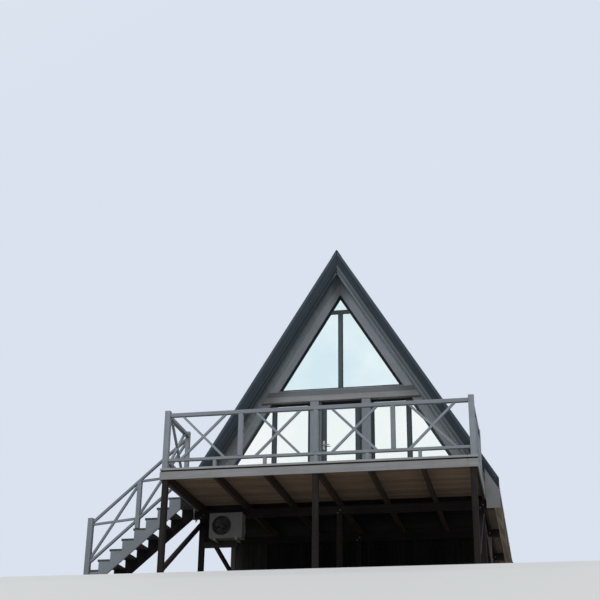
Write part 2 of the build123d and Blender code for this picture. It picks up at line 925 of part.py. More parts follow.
class AcrossPanel:
    """Draws a panel's members across the cabin at a depth."""

    def __init__(self, y):
        self.y = y

    def __call__(self, start, end, low, high, half):
        block(start, end, self.y - half, self.y + half, low, high)

    def bar(self, foot, head, width, half):
        plate(bar_points(foot, head, width), self.y - half, self.y + half)


class AlongPanel:
    """Draws a panel's members along the cabin at a distance from the middle."""

    def __init__(self, x):
        self.x = x

    def __call__(self, start, end, low, high, half):
        block(self.x - half, self.x + half, start, end, low, high)

    def bar(self, foot, head, width, half):
        side_plate(bar_points(foot, head, width), self.x - half, self.x + half)


with BuildPart() as front_rail:
    rail_panel(-corner_x, corner_x, corner_post, front_bays, joist_spaces, AcrossPanel(rail_line))
finish(front_rail, "front_rail")

with BuildPart() as left_rail:
    rail_panel(rail_line, left_end_y, rail_post, 1, 1, AlongPanel(-corner_x))
finish(left_rail, "left_rail")

with BuildPart() as right_rail:
    rail_panel(rail_line, right_end_y, rail_post, 2, 2, AlongPanel(corner_x))
finish(right_rail, "right_rail")

# Stair on the left: two sawtooth stringers, treads on them, a railing on the near side.
stair_front = left_end_y - stringer_thickness / 2
stair_back = stair_front + stair_width
tread_edges = [-side_fascia - stair_going * (riser_count - 1 - i) for i in range(riser_count)]
throat_drop = stringer_throat * hypot(rise, stair_going) / stair_going


def stringer_points():
    """Outline of a stringer: notches for the treads, a level foot and a plumb head."""
    points = []
    for i in range(riser_count - 1):
        top = rise * (i + 1) - tread_thickness
        points.append((tread_edges[i], top))
        points.append((tread_edges[i + 1], top))
    head_x = -side_fascia
    head_low = rise * (riser_count - 1) - tread_thickness - throat_drop
    slope = rise / stair_going
    foot_x = head_x - head_low / slope
    points.append((head_x, head_low))
    points.append((foot_x, 0))
    points.append((tread_edges[0], 0))
    return points


newel_front = -newel_place - newel_size / 2
newel_back = -newel_place + newel_size / 2
newel_near = left_end_y - newel_size / 2 - gap
newel_far = left_end_y + newel_size / 2 + gap
stair_foot_x = tread_edges[0] - 2 * tread_nosing

with BuildPart() as stair_stringers:
    for front in (stair_front, stair_back - stringer_thickness):
        plate(stringer_points(), front, front + stringer_thickness)
    block(
        stair_foot_x, newel_back + gap, newel_near, newel_far,
        0, newel_height, mode=Mode.SUBTRACT,
    )
finish(stair_stringers, "stair_stringers")

with BuildPart() as stair_treads:
    for i in range(riser_count - 1):
        back = tread_edges[i + 1]
        if i < riser_count - 2:
            back = back - gap
        block(
            tread_edges[i] - tread_nosing, back, stair_front, stair_back,
            rise * (i + 1) - tread_thickness, rise * (i + 1),
        )
    block(
        newel_front - gap, newel_back + gap, newel_near, newel_far,
        0, newel_height, mode=Mode.SUBTRACT,
    )
finish(stair_treads, "stair_treads")

rail_start = newel_back
rail_end = -corner_x - rail_post / 2
rail_low = newel_height - stair_rail_drop - stair_rail_size
rail_high = handrail_top - stair_rail_top_drop - stair_rail_size
rail_slope = (rail_high - rail_low) / (rail_end - rail_start)
stair_post_x = -stair_post_place
post_step = int((stair_post_x - tread_edges[0]) // stair_going)
stair_post_foot = rise * (post_step + 1)


def rail_height(x):
    """Underside of the stair's handrail."""
    return rail_low + rail_slope * (x - rail_start)


half_rail = stair_rail_size / 2
stair_cross_half = cross_bar / 2

with BuildPart() as stair_railing:
    with Locations((-newel_place, left_end_y, 0)):
        Box(newel_size, newel_size, newel_height, align=(Align.CENTER, Align.CENTER, Align.MIN))
    plate([
        (stair_post_x - rail_post / 2, stair_post_foot),
        (stair_post_x + rail_post / 2, stair_post_foot),
        (stair_post_x + rail_post / 2, rail_height(stair_post_x + rail_post / 2) + 1),
        (stair_post_x - rail_post / 2, rail_height(stair_post_x - rail_post / 2) + 1),
    ], left_end_y - rail_post / 2, left_end_y + rail_post / 2)
    plate(
        upright_bar_points((rail_start - 1, rail_low), (rail_end, rail_high), stair_rail_size),
        left_end_y - half_rail, left_end_y + half_rail,
    )
    for near, far in (
        (rail_start - 1, stair_post_x - rail_post / 2 + 1),
        (stair_post_x + rail_post / 2 - 1, rail_end),
    ):
        low_near = rail_height(near) - stair_rail_spread
        low_far = rail_height(far) - stair_rail_spread
        plate(
            upright_bar_points((near, low_near), (far, low_far), stair_rail_size),
            left_end_y - half_rail, left_end_y + half_rail,
        )
        steep = upright_bar_points(
            (near, low_near + stair_rail_size - 1),
            (far, rail_height(far) - cross_bar * 2 + 1),
            cross_bar * 2,
        )
        shallow = upright_bar_points(
            (near, rail_height(near) - cross_bar + 1),
            (far, low_far + stair_rail_size - 1),
            cross_bar,
        )
        for outline in (steep, shallow):
            plate(outline, left_end_y - stair_cross_half, left_end_y + stair_cross_half)
finish(stair_railing, "stair_railing")

# Panel under the second row's beam with a batten and a girt, which carries the cooling unit.
unit_left = -leg_place + leg_size / 2 + unit_beside_leg
unit_right = unit_left + unit_width
unit_bottom = beam_top - unit_below_joists - unit_height
panel_front = rows[1] - leg_size / 2
panel_left = -leg_place + leg_size / 2
panel_right = unit_right - hanger_inset - hanger_size
girt_top = unit_bottom - girt_below_unit

with BuildPart() as unit_backing:
    block(
        panel_left, panel_right - gap,
        panel_front, panel_front + panel_thickness, girt_top, beam_bottom,
    )
    block(
        panel_left, panel_right - gap,
        panel_front, panel_front + hanger_size, girt_top - girt_depth, girt_top - gap,
    )
    block(
        panel_right, panel_right + hanger_size,
        panel_front, panel_front + hanger_size, girt_top - girt_depth, beam_bottom,
    )
finish(unit_backing, "unit_backing")

# Cooling unit: a sheet housing with a round opening, a fan and a wire guard.
unit_back = panel_front - bracket_size
unit_front = unit_back - unit_depth
fan_x = unit_left + fan_place
fan_z = unit_bottom + unit_height / 2
unit_mid_x = unit_left + unit_width / 2
unit_mid_z = unit_bottom + unit_height / 2

with BuildPart() as unit_housing:
    block(
        unit_left, unit_right, unit_front, unit_back,
        unit_bottom, unit_bottom + unit_height,
    )
    fillet(unit_housing.edges().filter_by(Axis.Y), 18)
    with Locations((unit_mid_x, (unit_front + unit_back) / 2, unit_mid_z)):
        Box(
            unit_width - 2 * unit_wall, unit_depth - 2 * unit_wall, unit_height - 2 * unit_wall,
            mode=Mode.SUBTRACT,
        )
    with BuildSketch(Plane(origin=(fan_x, unit_front, fan_z), z_dir=(0, 1, 0))):
        Circle(fan_radius)
    extrude(amount=unit_wall, mode=Mode.SUBTRACT)
finish(unit_housing, "unit_housing")

fan_depth = unit_front + unit_wall + 60
hub_radius = fan_radius / 4

with BuildPart() as unit_fan:
    with BuildSketch(Plane(origin=(fan_x, fan_depth, fan_z), z_dir=(0, 1, 0))):
        Circle(hub_radius)
    extrude(amount=unit_back - unit_wall - fan_depth)
    with BuildSketch(Plane(origin=(fan_x, fan_depth + 10, fan_z), z_dir=(0, 1, 0))):
        Circle(hub_radius)
        for i in range(fan_blade_count):
            with Locations(Location((0, 0), 360 / fan_blade_count * i)):
                Polygon(
                    (0, -hub_radius * 0.8),
                    (fan_radius - 20, -hub_radius * 1.6),
                    (fan_radius - 20, hub_radius * 1.6),
                    (0, hub_radius * 0.8),
                    align=None,
                )
    extrude(amount=12)
finish(unit_fan, "unit_fan")

with BuildPart() as unit_guard:
    with BuildSketch(Plane(origin=(fan_x, unit_front, fan_z), z_dir=(0, -1, 0))):
        for i in range(1, guard_rings + 1):
            radius = (fan_radius + guard_wire) / guard_rings * i
            Circle(radius)
            Circle(radius - guard_wire, mode=Mode.SUBTRACT)
            if i > 1:
                Circle((fan_radius + guard_wire) / guard_rings * (i - 1))
                Circle((fan_radius + guard_wire) / guard_rings * (i - 1) - guard_wire, mode=Mode.SUBTRACT)
        for i in range(4):
            with Locations(Location((0, 0), 45 * i)):
                Rectangle(2 * fan_radius, guard_wire)
    extrude(amount=guard_wire)
finish(unit_guard, "unit_guard")

with BuildPart() as unit_brackets:
    for x in (unit_left + bracket_inset, unit_right - bracket_inset - bracket_size):
        block(
            x, x + bracket_size, unit_front, panel_front,
            unit_bottom - bracket_size, unit_bottom,
        )
finish(unit_brackets, "unit_brackets")
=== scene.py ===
import math
import random
import bmesh
import bpy
from mathutils import Matrix, Vector


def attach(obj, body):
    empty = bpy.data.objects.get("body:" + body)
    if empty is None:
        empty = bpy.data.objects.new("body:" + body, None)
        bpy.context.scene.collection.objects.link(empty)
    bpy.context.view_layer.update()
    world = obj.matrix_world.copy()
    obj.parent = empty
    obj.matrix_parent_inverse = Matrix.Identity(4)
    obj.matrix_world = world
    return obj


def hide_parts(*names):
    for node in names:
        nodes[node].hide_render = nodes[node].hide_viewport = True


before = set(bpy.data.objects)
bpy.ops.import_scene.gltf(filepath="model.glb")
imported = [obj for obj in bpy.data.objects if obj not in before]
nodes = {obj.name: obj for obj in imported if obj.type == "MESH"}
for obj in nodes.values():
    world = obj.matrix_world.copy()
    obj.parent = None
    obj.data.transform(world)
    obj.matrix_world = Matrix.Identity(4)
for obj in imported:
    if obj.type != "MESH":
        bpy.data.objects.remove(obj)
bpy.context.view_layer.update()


# Legs: square softwood posts in five rows of three, their arrises eased by a plane. All are
# stained dark, made darker still with painted shade, but the outer ones under the house, which
# are left bare and have gone grey.
def put(tree, kind, inputs=None, **settings):
    """Adds a shader node. An input is given a value, or another node's output."""
    made = tree.nodes.new(kind)
    for key, value in settings.items():
        setattr(made, key, value)
    for key, value in (inputs or {}).items():
        if isinstance(value, bpy.types.NodeSocket):
            tree.links.new(value, made.inputs[key])
        else:
            made.inputs[key].default_value = value
    return made


def stir(tree, factor, first, second, way="MIX"):
    """Blends two colours of a finish."""
    made = tree.nodes.new("ShaderNodeMix")
    made.data_type = "RGBA"
    made.blend_type = way
    for place, value in ((0, factor), (6, first), (7, second)):
        if isinstance(value, bpy.types.NodeSocket):
            tree.links.new(value, made.inputs[place])
        else:
            made.inputs[place].default_value = value
    return made.outputs[2]


def span(tree, value, low, high, to_low, to_high):
    """Stretches a value from one range to another."""
    return put(tree, "ShaderNodeMapRange", {
        "Value": value, "From Min": low, "From Max": high, "To Min": to_low, "To Max": to_high,
    }).outputs[0]


def blotches(tree, place, scale, detail=4.0, roughness=0.55, distortion=0.0):
    """An uneven cloud of light and dark."""
    return put(tree, "ShaderNodeTexNoise", {
        "Vector": place, "Scale": scale, "Detail": detail,
        "Roughness": roughness, "Distortion": distortion,
    }).outputs[0]


def new_finish(name):
    """An empty finish with its nodes and its shader."""
    finish = bpy.data.materials.new(name)
    finish.use_nodes = True
    return finish, finish.node_tree, finish.node_tree.nodes["Principled BSDF"]


def on_object(tree):
    """The place of a point on its own object."""
    return put(tree, "ShaderNodeTexCoord").outputs["Object"]


def stretched(tree, place, scale):
    """A place scaled by a different amount each way."""
    return put(tree, "ShaderNodeMapping", {"Vector": place, "Scale": scale}).outputs[0]


def emboss(tree, shader, strength, distance, height):
    """Fine relief over a finish."""
    tree.links.new(put(tree, "ShaderNodeBump", {
        "Strength": strength, "Distance": distance, "Height": height,
    }).outputs[0], shader.inputs["Normal"])


def timber_finish(name, light, dark, soil, soiling=0.25, knots=0.0, dull=0.62, relief=0.35,
                  contrast=1.0, spread=0.24, damp=0.0, shine=0.3):
    """Wood, bare or under paint: growth rings and fibres along the grain, a tone for each board,
    soiling in soft patches, and a damp dark foot where damp is above zero."""
    finish, tree, shader = new_finish(name)
    grain = put(tree, "ShaderNodeUVMap", uv_map="grain").outputs[0]
    place = on_object(tree)
    rings = blotches(tree, stretched(tree, grain, (0.9, 26.0, 1.0)), 1.0, 5.0, 0.62, 0.8)
    fibres = blotches(tree, stretched(tree, grain, (6.0, 310.0, 1.0)), 1.0, 3.0, 0.6)
    half = 0.5 * contrast
    bands = span(tree, rings, 0.32, 0.68, 0.5 - half, 0.5 + half)
    colour = stir(tree, bands, (*dark, 1), (*light, 1))
    tone = put(tree, "ShaderNodeAttribute", attribute_name="tone").outputs["Fac"]
    for shade in (span(tree, fibres, 0.35, 0.7, 1 - 0.22 * contrast, 1.06),
                  span(tree, tone, 0.0, 1.0, 1 - spread, 1 + spread)):
        grey = put(tree, "ShaderNodeCombineColor", {"Red": shade, "Green": shade, "Blue": shade})
        colour = stir(tree, 1.0, colour, grey.outputs[0], "MULTIPLY")
    if knots:
        cells = put(tree, "ShaderNodeTexVoronoi", {
            "Vector": stretched(tree, grain, (1.5, 7.5, 1.0)), "Scale": 1.0}).outputs["Distance"]
        spots = span(tree, cells, 0.05, 0.12, knots, 0.0)
        colour = stir(tree, spots, colour, (dark[0] * 0.35, dark[1] * 0.3, dark[2] * 0.28, 1))
    patches = span(tree, blotches(tree, place, 1.9, 6.0, 0.65), 0.42, 0.72, 0.0, soiling)
    colour = stir(tree, patches, colour, (*soil, 1))
    if damp:
        height = put(tree, "ShaderNodeSeparateXYZ", {"Vector": place}).outputs[2]
        edge = put(tree, "ShaderNodeMath", {
            0: height, 1: span(tree, blotches(tree, place, 9.0), 0.3, 0.7, -0.12, 0.12),
        }, operation="ADD").outputs[0]
        colour = stir(tree, span(tree, edge, 0.02, 0.42, damp, 0.0), colour,
                      (soil[0] * 0.5, soil[1] * 0.5, soil[2] * 0.45, 1))
    tree.links.new(colour, shader.inputs["Base Color"])
    tree.links.new(span(tree, rings, 0.3, 0.7, dull + 0.1, dull - 0.1),
                   shader.inputs["Roughness"])
    height = put(tree, "ShaderNodeMath", {0: fibres, 1: rings}, operation="ADD").outputs[0]
    emboss(tree, shader, relief, 0.0012, height)
    shader.inputs["Specular IOR Level"].default_value = shine
    return finish


def set_up(name, mesh, finish, stands_for, body):
    """Puts a mesh in the scene on the body it rides on, and hides the parts it stands for."""
    mesh.materials.append(finish)
    made = bpy.data.objects.new(name, mesh)
    bpy.context.scene.collection.objects.link(made)
    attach(made, body)
    if stands_for:
        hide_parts(*stands_for)


class Timbers:
    """The timbers of one piece. Each keeps the run of its own grain and a tone of its own."""

    def __init__(self, seed):
        self.chance = random.Random(seed)
        self.points = []
        self.faces = []
        self.grain = []
        self.tones = []

    def cut(self, outline, sweep, along, ease=0.003):
        """A timber from a flat outline swept along a vector, its edges eased."""
        work = bmesh.new()
        near = [work.verts.new(Vector(p)) for p in outline]
        far = [work.verts.new(Vector(p) + Vector(sweep)) for p in outline]
        work.faces.new(near)
        work.faces.new(far[::-1])
        for i, corner in enumerate(near):
            after = (i + 1) % len(near)
            work.faces.new((near[after], corner, far[i], far[after]))
        bmesh.ops.recalc_face_normals(work, faces=work.faces[:])
        bmesh.ops.bevel(work, geom=work.edges[:], offset=ease, segments=1, affect="EDGES",
                        clamp_overlap=True)
        work.normal_update()
        work.verts.index_update()
        along = Vector(along).normalized()
        shift = (self.chance.uniform(0, 60), self.chance.uniform(0, 60))
        first = len(self.points)
        self.points += [tuple(v.co) for v in work.verts]
        self.tones += [self.chance.random()] * len(work.verts)
        for face in work.faces:
            lengthwise = along
            side = face.normal.cross(along)
            if side.length < 0.35:
                side = along.orthogonal()
                lengthwise = along.cross(side) * 0.25
            side.normalize()
            self.faces.append([first + v.index for v in face.verts])
            self.grain += [(v.co.dot(lengthwise) + shift[0], v.co.dot(side) + shift[1])
                           for v in face.verts]
        work.free()

    def block(self, x0, x1, y0, y1, z0, z1, along, ease=0.003):
        """A squared timber by its faces."""
        self.cut([(x0, y0, z0), (x1, y0, z0), (x1, y1, z0), (x0, y1, z0)],
                 (0, 0, z1 - z0), along, ease)

    def across(self, outline, y0, y1, along, ease=0.003):
        """A timber from an upright outline of x and z, between two depths."""
        self.cut([(x, y0, z) for x, z in outline], (0, y1 - y0, 0), along, ease)

    def piece(self, name, slot, finish, *stands_for, body="cabin"):
        """Makes the mesh of the piece from its timbers."""
        mesh = bpy.data.meshes.new(name)
        mesh.from_pydata(self.points, [], self.faces)
        mesh.uv_layers.new(name="grain").data.foreach_set("uv", [c for p in self.grain for c in p])
        mesh.attributes.new("tone", "FLOAT", "POINT").data.foreach_set("value", self.tones)
        set_up(name, mesh, finish, stands_for, body)


# Painted shade: this stain is darker than real wood gets, standing in for the shade under the deck.
stain_and_painted_shade = timber_finish("stain_and_painted_shade", (0.021, 0.0165, 0.017), (0.009, 0.007, 0.007),
                           (0.036, 0.033, 0.029), 0.35, 0.3, 0.75, 0.5, damp=0.7, shine=0.12)
bare_softwood = timber_finish("bare_softwood", (0.150, 0.140, 0.122), (0.075, 0.068, 0.058),
                              (0.060, 0.057, 0.050), 0.45, 0.75, 0.8, 0.5, damp=0.7, shine=0.15)
leg_half = 0.05
leg_places = (-2.68, 0.0, 2.68)
rows = [2.43 * i for i in range(5)]
deck_top = 1.85
joist_top = 1.822
beam_top = 1.672
beam_foot = 1.522

legs = Timbers(1)
for x in leg_places:
    legs.block(x - leg_half, x + leg_half, -leg_half, leg_half, 0, beam_top, (0, 0, 1), 0.005)
    legs.block(x - leg_half, x + leg_half, rows[1] - leg_half, rows[1] + leg_half, 0, beam_foot,
               (0, 0, 1), 0.005)
legs.piece("stained_legs", "dark_timber", stain_and_painted_shade, "front_legs")

bare_legs, inner_legs = Timbers(2), Timbers(94)
for y in rows[2:]:
    for x in leg_places:
        group = bare_legs if x else inner_legs
        group.block(x - leg_half, x + leg_half, y - leg_half, y + leg_half, 0, beam_foot,
                    (0, 0, 1), 0.005)
bare_legs.piece("bare_legs", "bare_boards", bare_softwood, "house_legs")
inner_legs.piece("inner_legs", "dark_timber", stain_and_painted_shade, "house_legs")


# Braces: 70 mm timbers let in between the side legs, from low on one leg to the head of the
# next, each end held by two galvanised coach bolts with washers.
def rust_free_steel(name, colour, dull, mottling):
    """Zinc or stainless steel: soft crystals of grey, fine scratches and a satin sheen."""
    finish, tree, shader = new_finish(name)
    place = on_object(tree)
    cells = put(tree, "ShaderNodeTexVoronoi", {"Vector": place, "Scale": 160.0}).outputs["Color"]
    grey = put(tree, "ShaderNodeSeparateColor", {"Color": cells}).outputs[0]
    tint = [c * (1 - mottling) for c in colour]
    tree.links.new(stir(tree, grey, (*tint, 1), (*colour, 1)), shader.inputs["Base Color"])
    scratches = blotches(tree, stretched(tree, place, (40.0, 900.0, 40.0)), 1.0, 2.0)
    tree.links.new(span(tree, scratches, 0.3, 0.7, dull - 0.08, dull + 0.12),
                   shader.inputs["Roughness"])
    emboss(tree, shader, 0.12, 0.0003, scratches)
    shader.inputs["Metallic"].default_value = 0.9
    return finish


zinc = rust_free_steel("zinc", (0.22, 0.225, 0.23), 0.55, 0.45)


class Fittings:
    """Turned, pressed and folded metal of one piece."""

    def __init__(self):
        self.work = bmesh.new()

    def disc(self, centre, facing, radius, thickness, sides=12, tilt=0.0, draw_in=1.0):
        """A round or many-sided head standing up from a face."""
        turn = Vector(facing).to_track_quat("Z", "Y").to_matrix()
        rims = []
        for height, share in ((0, 1.0), (thickness * 0.7, 1.0), (thickness, draw_in)):
            rims.append([self.work.verts.new(Vector(centre) + turn @ Vector((
                radius * share * math.cos(tilt + 2 * math.pi * i / sides),
                radius * share * math.sin(tilt + 2 * math.pi * i / sides), height)))
                for i in range(sides)])
        self.work.faces.new(rims[0][::-1])
        self.work.faces.new(rims[2])
        for low, high in zip(rims, rims[1:]):
            for i in range(sides):
                after = (i + 1) % sides
                self.work.faces.new((low[i], low[after], high[after], high[i]))

    def bolt(self, centre, facing, size):
        """A washer with a six-sided head on it."""
        self.disc(centre, facing, size * 1.25, 0.002, 16)
        top = Vector(centre) + Vector(facing) * 0.002
        self.disc(top, facing, size * 0.78, size * 0.55, 6, 0.3, 0.9)

    def screw(self, centre, facing, size=0.0045):
        """A flat screw head, a hair above the wood."""
        self.disc(centre, facing, size, 0.0008, 8, 0.0, 0.8)

    def strip(self, lines, closed=False):
        """A skin through rows of points. Closed joins each row's end to its start."""
        rows_made = [[self.work.verts.new(Vector(p)) for p in line] for line in lines]
        for near, far in zip(rows_made, rows_made[1:]):
            for i in range(len(near) - (0 if closed else 1)):
                after = (i + 1) % len(near)
                self.work.faces.new((near[i], near[after], far[after], far[i]))

    def piece(self, name, slot, finish, *stands_for, body="cabin", smooth=False):
        """Makes the mesh of the piece from its metal."""
        bmesh.ops.recalc_face_normals(self.work, faces=self.work.faces[:])
        mesh = bpy.data.meshes.new(name)
        self.work.to_mesh(mesh)
        self.work.free()
        for polygon in mesh.polygons:
            polygon.use_smooth = smooth
        set_up(name, mesh, finish, stands_for, body)


brace = 0.07
bolt_size = 0.011
bolt_inset = 0.09      # along a brace, from its end to its pair of bolts
braces = Timbers(3)
bolts = Fittings()
for foot, head, low in ((0, 1, 0.06), (2, 1, 0.85), (2, 3, 0.85), (4, 3, 0.85)):
    way = 1 if head > foot else -1
    start = rows[foot] + way * leg_half
    end = rows[head] - way * leg_half
    high = beam_foot - 2 * brace
    slope = (high - low) / abs(end - start)
    plumb = brace * math.sqrt(1 + slope * slope)
    for x in leg_places[::2]:
        outline = [(x - brace / 2, start, low), (x - brace / 2, end, high),
                   (x - brace / 2, end, high + plumb), (x - brace / 2, start, low + plumb)]
        braces.cut(outline, (brace, 0, 0), (0, end - start, high - low), 0.004)
        side = 1 if x > 0 else -1
        for y, z in ((start + way * bolt_inset, low), (end - way * bolt_inset, high)):
            lift = slope * bolt_inset * (1 if z == low else -1)
            for shift in (-0.028, 0.028):
                bolts.bolt((x + side * brace / 2, y + way * shift, z + plumb / 2 + lift
                            + slope * shift), (side, 0, 0), bolt_size)
braces.piece("brace_timbers", "dark_timber", stain_and_painted_shade, "leg_braces")

# Beams: 100 by 150 mm timbers across the legs, one on each row behind the front one, running
# out past the platform to carry the wall plates. Two bolts hold each to its leg.
beams = Timbers(4)
beam_half = 0.05
plate_outer = 2.9
for y in rows[1:]:
    beams.block(-plate_outer, plate_outer, y - beam_half, y + beam_half, beam_foot, beam_top,
                (1, 0, 0), 0.005)
    for x in leg_places:
        for shift in (-0.025, 0.025):
            bolts.bolt((x + shift, y - beam_half, beam_foot + 0.045 + shift), (0, -1, 0),
                       bolt_size)
beams.piece("beam_timbers", "dark_timber", stain_and_painted_shade, "cross_beams")
bolts.piece("bolts", "steel", zinc)

# Plank wall under the house: rough boards nailed upright between the third row's legs, black
# with painted shade but for the ones by the left leg, which have gone grey. It closes the store
# from the front, and stands in for the deep shade under the house.
planks = Timbers(5)
grey_planks = Timbers(95)
nails = Fittings()
old_planks = timber_finish("old_planks", (0.045, 0.043, 0.041), (0.015, 0.014, 0.014),
                           (0.060, 0.057, 0.050), 0.35, 0.45, 0.85, 0.7, damp=0.5,
                           spread=0.45, shine=0.08)
# Painted shade: near black planks for the deep shade under the house.
painted_shade_planks = timber_finish("painted_shade_planks", (0.016, 0.014, 0.014), (0.006, 0.005, 0.005),
                              (0.020, 0.019, 0.018), 0.3, 0.4, 0.85, 0.7, damp=0.4,
                              spread=0.4, shine=0.05)
store_face = 4.83
hair = 0.0005           # left between pieces that would touch
bay_start, bay_end = leg_half + hair, leg_places[2] - leg_half - hair
count = 19
for side, low, high in ((-1, -bay_end, -bay_start), (1, bay_start, bay_end)):
    width = (high - low) / count
    for i in range(count):
        x = low + width * i
        foot = 0.04 + planks.chance.uniform(0.0, 0.018)
        set_back = planks.chance.uniform(0.0, 0.003)
        group = grey_planks if side < 0 and i < 5 else planks
        group.block(x + 0.0015, x + width - 0.0015, store_face + set_back, 4.855,
                    foot, beam_foot - 0.001, (0, 0, 1), 0.002)
        for z in (0.22, 0.82, 1.40):
            nails.disc((x + width * 0.5, store_face + set_back, z), (0, -1, 0), 0.004, 0.001, 8)
planks.piece("store_planks", "dark_timber", painted_shade_planks, "store_wall")
grey_planks.piece("store_end_planks", "dark_timber", old_planks, "store_wall")
nails.piece("plank_nails", "steel", zinc)

# Joists: 50 by 150 mm planed timbers from front to back on the beams, shut at both ends by a
# rim of the same size. Only their undersides and the rim are left to see.
joist_wood = timber_finish("joist_wood", (0.062, 0.046, 0.037), (0.028, 0.020, 0.016),
                           (0.034, 0.029, 0.025), 0.4, 0.7, 0.78, 0.45, shine=0.12)
half_deck = 2.75
rim_face, platform_back = -0.05, 9.80
joist_places = [-2.725 + 5.45 / 6 * i for i in range(7)]
joists = Timbers(6)
for x in joist_places:
    joists.block(x - 0.025, x + 0.025, rim_face + 0.05 + hair, platform_back - 0.05 - hair,
                 beam_top, joist_top, (0, 1, 0), 0.003)
for y in (rim_face, platform_back - 0.05):
    joists.block(-half_deck, half_deck, y, y + 0.05, beam_top, joist_top, (1, 0, 0), 0.003)
joists.piece("joist_timbers", "bare_boards", joist_wood, "floor_joists")

# Wall plates: 150 mm square timbers of bare softwood outside the platform, on the ends of the
# beams. The rafters are notched over them. Each is two lengths that meet over a beam.
plate_wood = timber_finish("plate_wood", (0.300, 0.262, 0.200), (0.170, 0.142, 0.103),
                           (0.085, 0.079, 0.068), 0.4, 0.75, 0.8, 0.5, shine=0.12)
roof_front = 2.19
roof_back = 10.21
plates = Timbers(7)
for side in (-1, 1):
    for start, end in ((roof_front, rows[2] - hair), (rows[2] + hair, roof_back)):
        plates.block(side * half_deck, side * plate_outer, start, end, beam_top, joist_top,
                     (0, 1, 0), 0.005)
plates.piece("plate_timbers", "bare_boards", plate_wood, "wall_plates")

# Deck: 120 mm planed boards across the joists with 5 mm between them for the rain, each in
# two lengths that meet on a joist, held by two screws at every joist.
deck_wood = timber_finish("deck_wood", (0.345, 0.258, 0.190), (0.210, 0.150, 0.104),
                          (0.150, 0.122, 0.098), 0.45, 0.6, 0.78, 0.5, shine=0.2)
boards = Timbers(8)
screws = Fittings()
gable_front = 2.60
count = 21
board_step = 2.65 / count
for i in range(count):
    y0 = rim_face + board_step * i
    y1 = y0 + board_step - 0.005 if i < count - 1 else gable_front
    meet = joist_places[2 + 2 * (i % 2)]
    for x0, x1 in ((-half_deck, meet - 0.001), (meet + 0.001, half_deck)):
        boards.block(x0, x1, y0, y1, joist_top, deck_top, (1, 0, 0), 0.003)
    for x in joist_places:
        for inset in (0.022, board_step - 0.027):
            screws.screw((min(max(x, -2.735), 2.735), y0 + inset, deck_top), (0, 0, 1))
boards.piece("deck_planks", "bare_boards", deck_wood, "deck_boards")
screws.piece("deck_screws", "steel", zinc)

# Cabin floor: 145 mm tongued boards from the gable to the back, clear oiled softwood on top.
# Below them a layer of thin rough boards, made black with painted shade, closes the joists.
inner_wood = timber_finish("inner_wood", (0.560, 0.420, 0.270), (0.400, 0.270, 0.150),
                           (0.330, 0.250, 0.170), 0.12, 0.8, 0.42, 0.25, spread=0.12)
rear_face = platform_back
pitch = math.radians(58.5)
roof_half = 3.145       # from the middle line to the sheets, at deck level
lining_depth = 0.275    # from the face of the sheets to the inside of the lining
floor = Timbers(9)
floor_half = roof_half - lining_depth / math.sin(pitch) - 0.0015
count = 39
width = 2 * floor_half / count
for i in range(count):
    x = -floor_half + width * i
    meet = floor.chance.uniform(4.5, 8.0)
    for y0, y1 in ((gable_front, meet), (meet + hair, rear_face)):
        floor.block(x + 0.0004, x + width - 0.0004, y0, y1, joist_top + 0.0065, deck_top,
                    (0, 1, 0), 0.0015)
floor.piece("floor_planks", "inner_boards", inner_wood, "cabin_floor")
under = Timbers(90)
count = 48
step = 7.2 / count
for i in range(count):
    y0 = gable_front + step * i
    under.block(-floor_half, floor_half, y0 + hair, y0 + step - hair, joist_top,
                joist_top + 0.006, (1, 0, 0), 0.0008)
under.piece("under_floor_boards", "dark_timber", painted_shade_planks, "cabin_floor")


# Fascia: 140 mm planed boards painted light grey round the platform's edge, and a 38 mm nosing
# above them over a dark shadow gap. The front ones are joined near the right end.
def painted(name, light, dark, soil, **looks):
    """Paint over planed wood, which hides the knots and most of the grain."""
    looks = {"soiling": 0.35, "dull": 0.6, "relief": 0.25, "contrast": 0.6, "spread": 0.08, **looks}
    return timber_finish(name, light, dark, soil, **looks)


light_paint = painted("light_paint", (0.325, 0.338, 0.355), (0.255, 0.268, 0.284),
                      (0.150, 0.148, 0.140), soiling=0.38, dull=0.55, relief=0.22, contrast=0.55,
                      spread=0.09)
worn_paint = painted("worn_paint", (0.262, 0.268, 0.280), (0.195, 0.200, 0.208),
                     (0.120, 0.114, 0.104), soiling=0.42, relief=0.22, contrast=0.7, spread=0.09)
fascia = Timbers(10)
nosing = Timbers(96)
gap_strip = Timbers(91)
fascia_foot = 1.645
gap_foot, gap_head = 1.785, 1.812
strip_foot, strip_head = gap_foot + hair, gap_head - hair
nosing_edge = 2.775
for x0, x1 in ((-nosing_edge, 2.598), (2.6005, nosing_edge)):
    fascia.block(x0, x1, -0.072, rim_face, fascia_foot, gap_foot, (1, 0, 0), 0.003)
    nosing.block(x0, x1, -0.075, rim_face, gap_head, deck_top, (1, 0, 0), 0.004)
gap_strip.block(-2.765, 2.765, -0.056, rim_face, strip_foot, strip_head, (1, 0, 0), 0.001)
for side in (-1, 1):
    for group, face, low, high, ease in ((fascia, 2.772, fascia_foot, gap_foot, 0.003),
                                         (nosing, nosing_edge, gap_head, deck_top, 0.004),
                                         (gap_strip, 2.756, strip_foot, strip_head, 0.001)):
        group.block(side * half_deck, side * face, rim_face + hair, roof_front - hair, low, high,
                    (0, 1, 0), ease)
fascia.piece("fascia_boards", "light_paint", worn_paint, "deck_fascia")
nosing.piece("deck_nosing", "light_paint", light_paint, "deck_fascia")
gap_strip.piece("fascia_gap", "dark_timber", stain_and_painted_shade, "deck_fascia")


